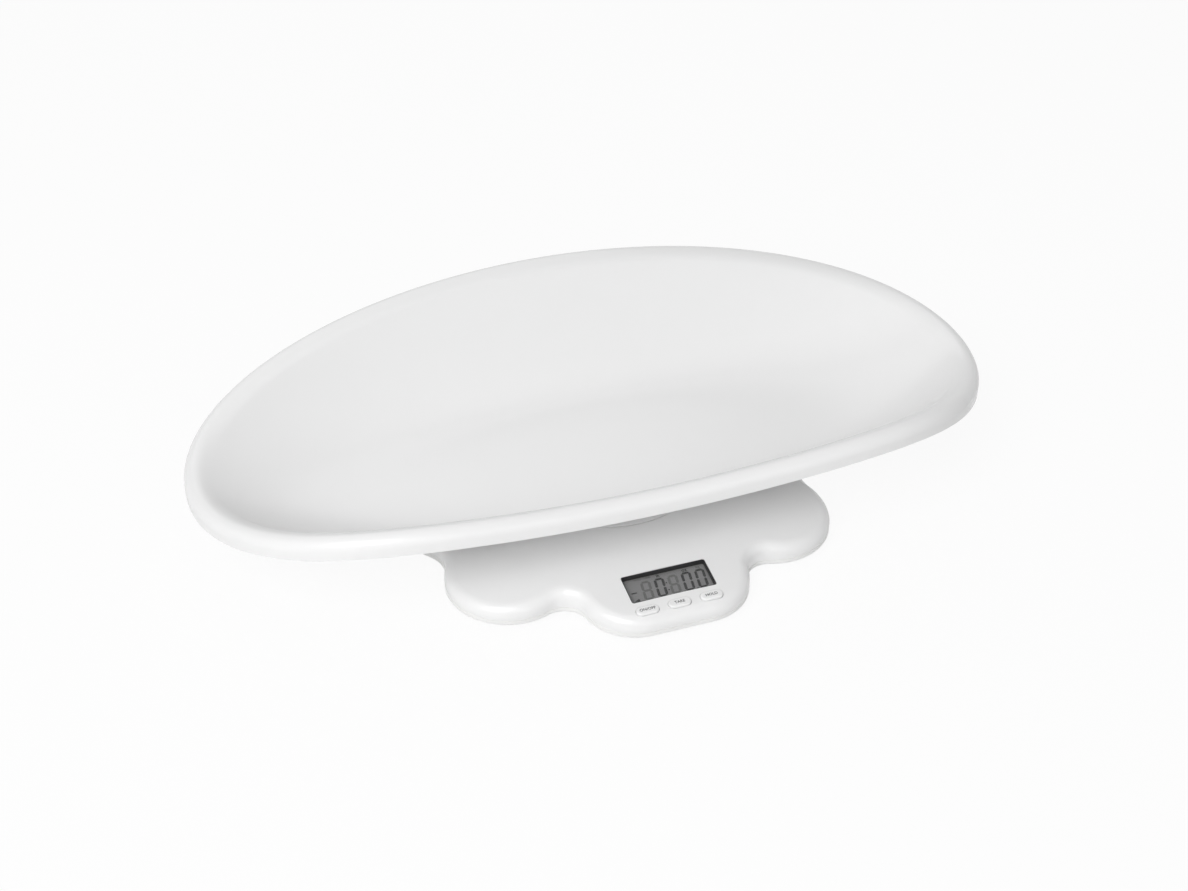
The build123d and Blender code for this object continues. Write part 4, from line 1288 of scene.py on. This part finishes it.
@dataclass
class Studio:
    """Camera, pale floor, white surroundings and soft lamps.

    Attributes:
        azimuth: how far the camera stands to the left of the scale's front, in degrees.
        elevation: how far above the horizon, in degrees.
        distance: from the aim to the camera.
        aim: point over the platform's axis that the camera is set up about.
        offset: camera's sideways and upward shift from the line to that point.
        lens: focal length.
        frame_width: width of the camera's frame, which the focal length goes with.
        clip: nearest and farthest distance that the camera sees, in metres.
        floor_size: width of the floor.
        floor_colour: sRGB hex of the floor.
        fibre: share by which the paper's colour varies, and size of its patches.
        glow: share of pure white that the camera sees on the floor.
        room: strength of the white room as a light.
        lamp_target: point that the lamps face, in metres.
        lamps: the softboxes.
    """

    azimuth: float = 19.21
    elevation: float = 36.369
    distance: float = 1212.53
    aim: tuple[float, float, float] = (0.0, AXIS_Y, 58.302)
    offset: tuple[float, float] = (-6.905, -13.92)
    lens: float = 55.177
    frame_width: float = 36.0
    clip: tuple[float, float] = (0.05, 50.0)
    floor_size: float = 12000.0
    floor_colour: str = "f4f4f4"
    fibre: tuple[float, float] = (0.01, 400.0)
    glow: float = 0.92
    room: float = 0.3
    lamp_target: tuple[float, float, float] = (0.0, 0.0, 0.05)
    lamps: tuple[Softbox, ...] = (
        Softbox("key_front_left", (-1.3, -1.3, 1.7), (1.4, 1.4), 36.0),
        Softbox("front", (0.2, -2.2, 1.1), (1.8, 1.4), 5.5),
        Softbox("top", (0.0, 0.1, 2.4), (1.8, 1.8), 4.2),
        Softbox("back", (0.0, 1.8, 1.7), (1.8, 1.4), 5.7),
    )

    def camera(self) -> None:
        """Sets up the camera and makes it the scene's own."""
        azimuth, elevation = math.radians(self.azimuth), math.radians(self.elevation)
        flat = math.cos(elevation)
        back = Vector((-math.sin(azimuth) * flat, -math.cos(azimuth) * flat, math.sin(elevation)))
        right = Vector((math.cos(azimuth), -math.sin(azimuth), 0))
        up = back.cross(right)
        place = Vector(self.aim) + back * self.distance + right * self.offset[0] + up * self.offset[1]
        data = bpy.data.cameras.new("camera")
        data.sensor_width, data.lens = self.frame_width, self.lens
        data.clip_start, data.clip_end = self.clip
        obj = scene_object("camera", data)
        turn = Matrix((right, up, back)).transposed().to_4x4()
        obj.matrix_world = Matrix.Translation(place * MM) @ turn
        bpy.context.scene.camera = obj

    def seen_rays(self, tree: NodeTree) -> NodeSocket:
        """Gives 1 for the rays that show a surface to the camera, straight, mirrored or through the window.

        Args:
            tree: node tree that uses it.

        Returns:
            The output socket.
        """
        rays = add_node(tree, "ShaderNodeLightPath").outputs
        mirrored = add_node(tree, "ShaderNodeMath", {"operation": "MAXIMUM"}, {
            0: rays["Is Glossy Ray"], 1: rays["Is Transmission Ray"]})
        seen = add_node(tree, "ShaderNodeMath", {"operation": "MAXIMUM"}, {
            0: rays["Is Camera Ray"], 1: mirrored.outputs[0]})
        return seen.outputs[0]

    def floor(self) -> None:
        """Lays a plain pale floor that keeps the scale's shadow but shows nearly white."""
        half = self.floor_size / 2
        corners = [(-half, -half, 0), (half, -half, 0), (half, half, 0), (-half, half, 0)]
        obj = solid_from("floor", corners, [(0, 1, 2, 3)])
        material = bpy.data.materials.new("floor_paper")
        tree = fresh_tree(material)
        tone, patch_mm = self.fibre
        base = linear(self.floor_colour)
        paper = blend(tree, darker(base, tone), base, noise(tree, object_coords(tree), patch_mm))
        matt = add_node(tree, "ShaderNodeBsdfDiffuse", links={"Color": paper})
        white = add_node(tree, "ShaderNodeEmission", {"Color": WHITE_LIGHT, "Strength": 1.0})
        share = add_node(tree, "ShaderNodeMath", {"operation": "MULTIPLY", 1: self.glow},
                         {0: self.seen_rays(tree)})
        mix = add_node(tree, "ShaderNodeMixShader", links={
            0: share.outputs[0], 1: matt.outputs[0], 2: white.outputs[0]})
        add_node(tree, "ShaderNodeOutputMaterial", links={"Surface": mix.outputs[0]})
        dress(obj, material)

    def surroundings(self) -> None:
        """Fills the world with an even white, which shows at full strength but lights the scale less."""
        world = bpy.data.worlds.new("white_room")
        tree = fresh_tree(world)
        strength = add_node(tree, "ShaderNodeMapRange", {"To Min": self.room, "To Max": 1.0},
                            {"Value": self.seen_rays(tree)})
        light = add_node(tree, "ShaderNodeBackground", {"Color": WHITE_LIGHT},
                         {"Strength": strength.outputs[0]})
        add_node(tree, "ShaderNodeOutputWorld", links={"Surface": light.outputs[0]})
        bpy.context.scene.world = world

    def build(self) -> None:
        """Sets up the whole studio."""
        bpy.context.scene.view_settings.view_transform = "Standard"
        self.camera()
        self.floor()
        self.surroundings()
        for lamp in self.lamps:
            lamp.build(Vector(self.lamp_target))


# ---- assembly -------------------------------------------------------------------------------


def main() -> None:
    """Builds the sub-assemblies in order and notes the size of the result."""
    logging.basicConfig(level=logging.INFO, format="%(name)s: %(message)s")
    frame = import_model()
    wardrobe = Wardrobe()
    for kind in (Tray, WeighingMechanism, Housing, BatteryBay, DisplayPanel, Keys):
        part = kind(frame["nodes"], wardrobe)
        part.dress()
        LOG.info("%s: %d nodes dressed", kind.__name__, len(part.finishes))
        for piece in part.build():
            LOG.info("%s: %s, %d faces", kind.__name__, piece.name, len(piece.data.polygons))
    Studio().build()


if __name__ == "__main__":
    main()
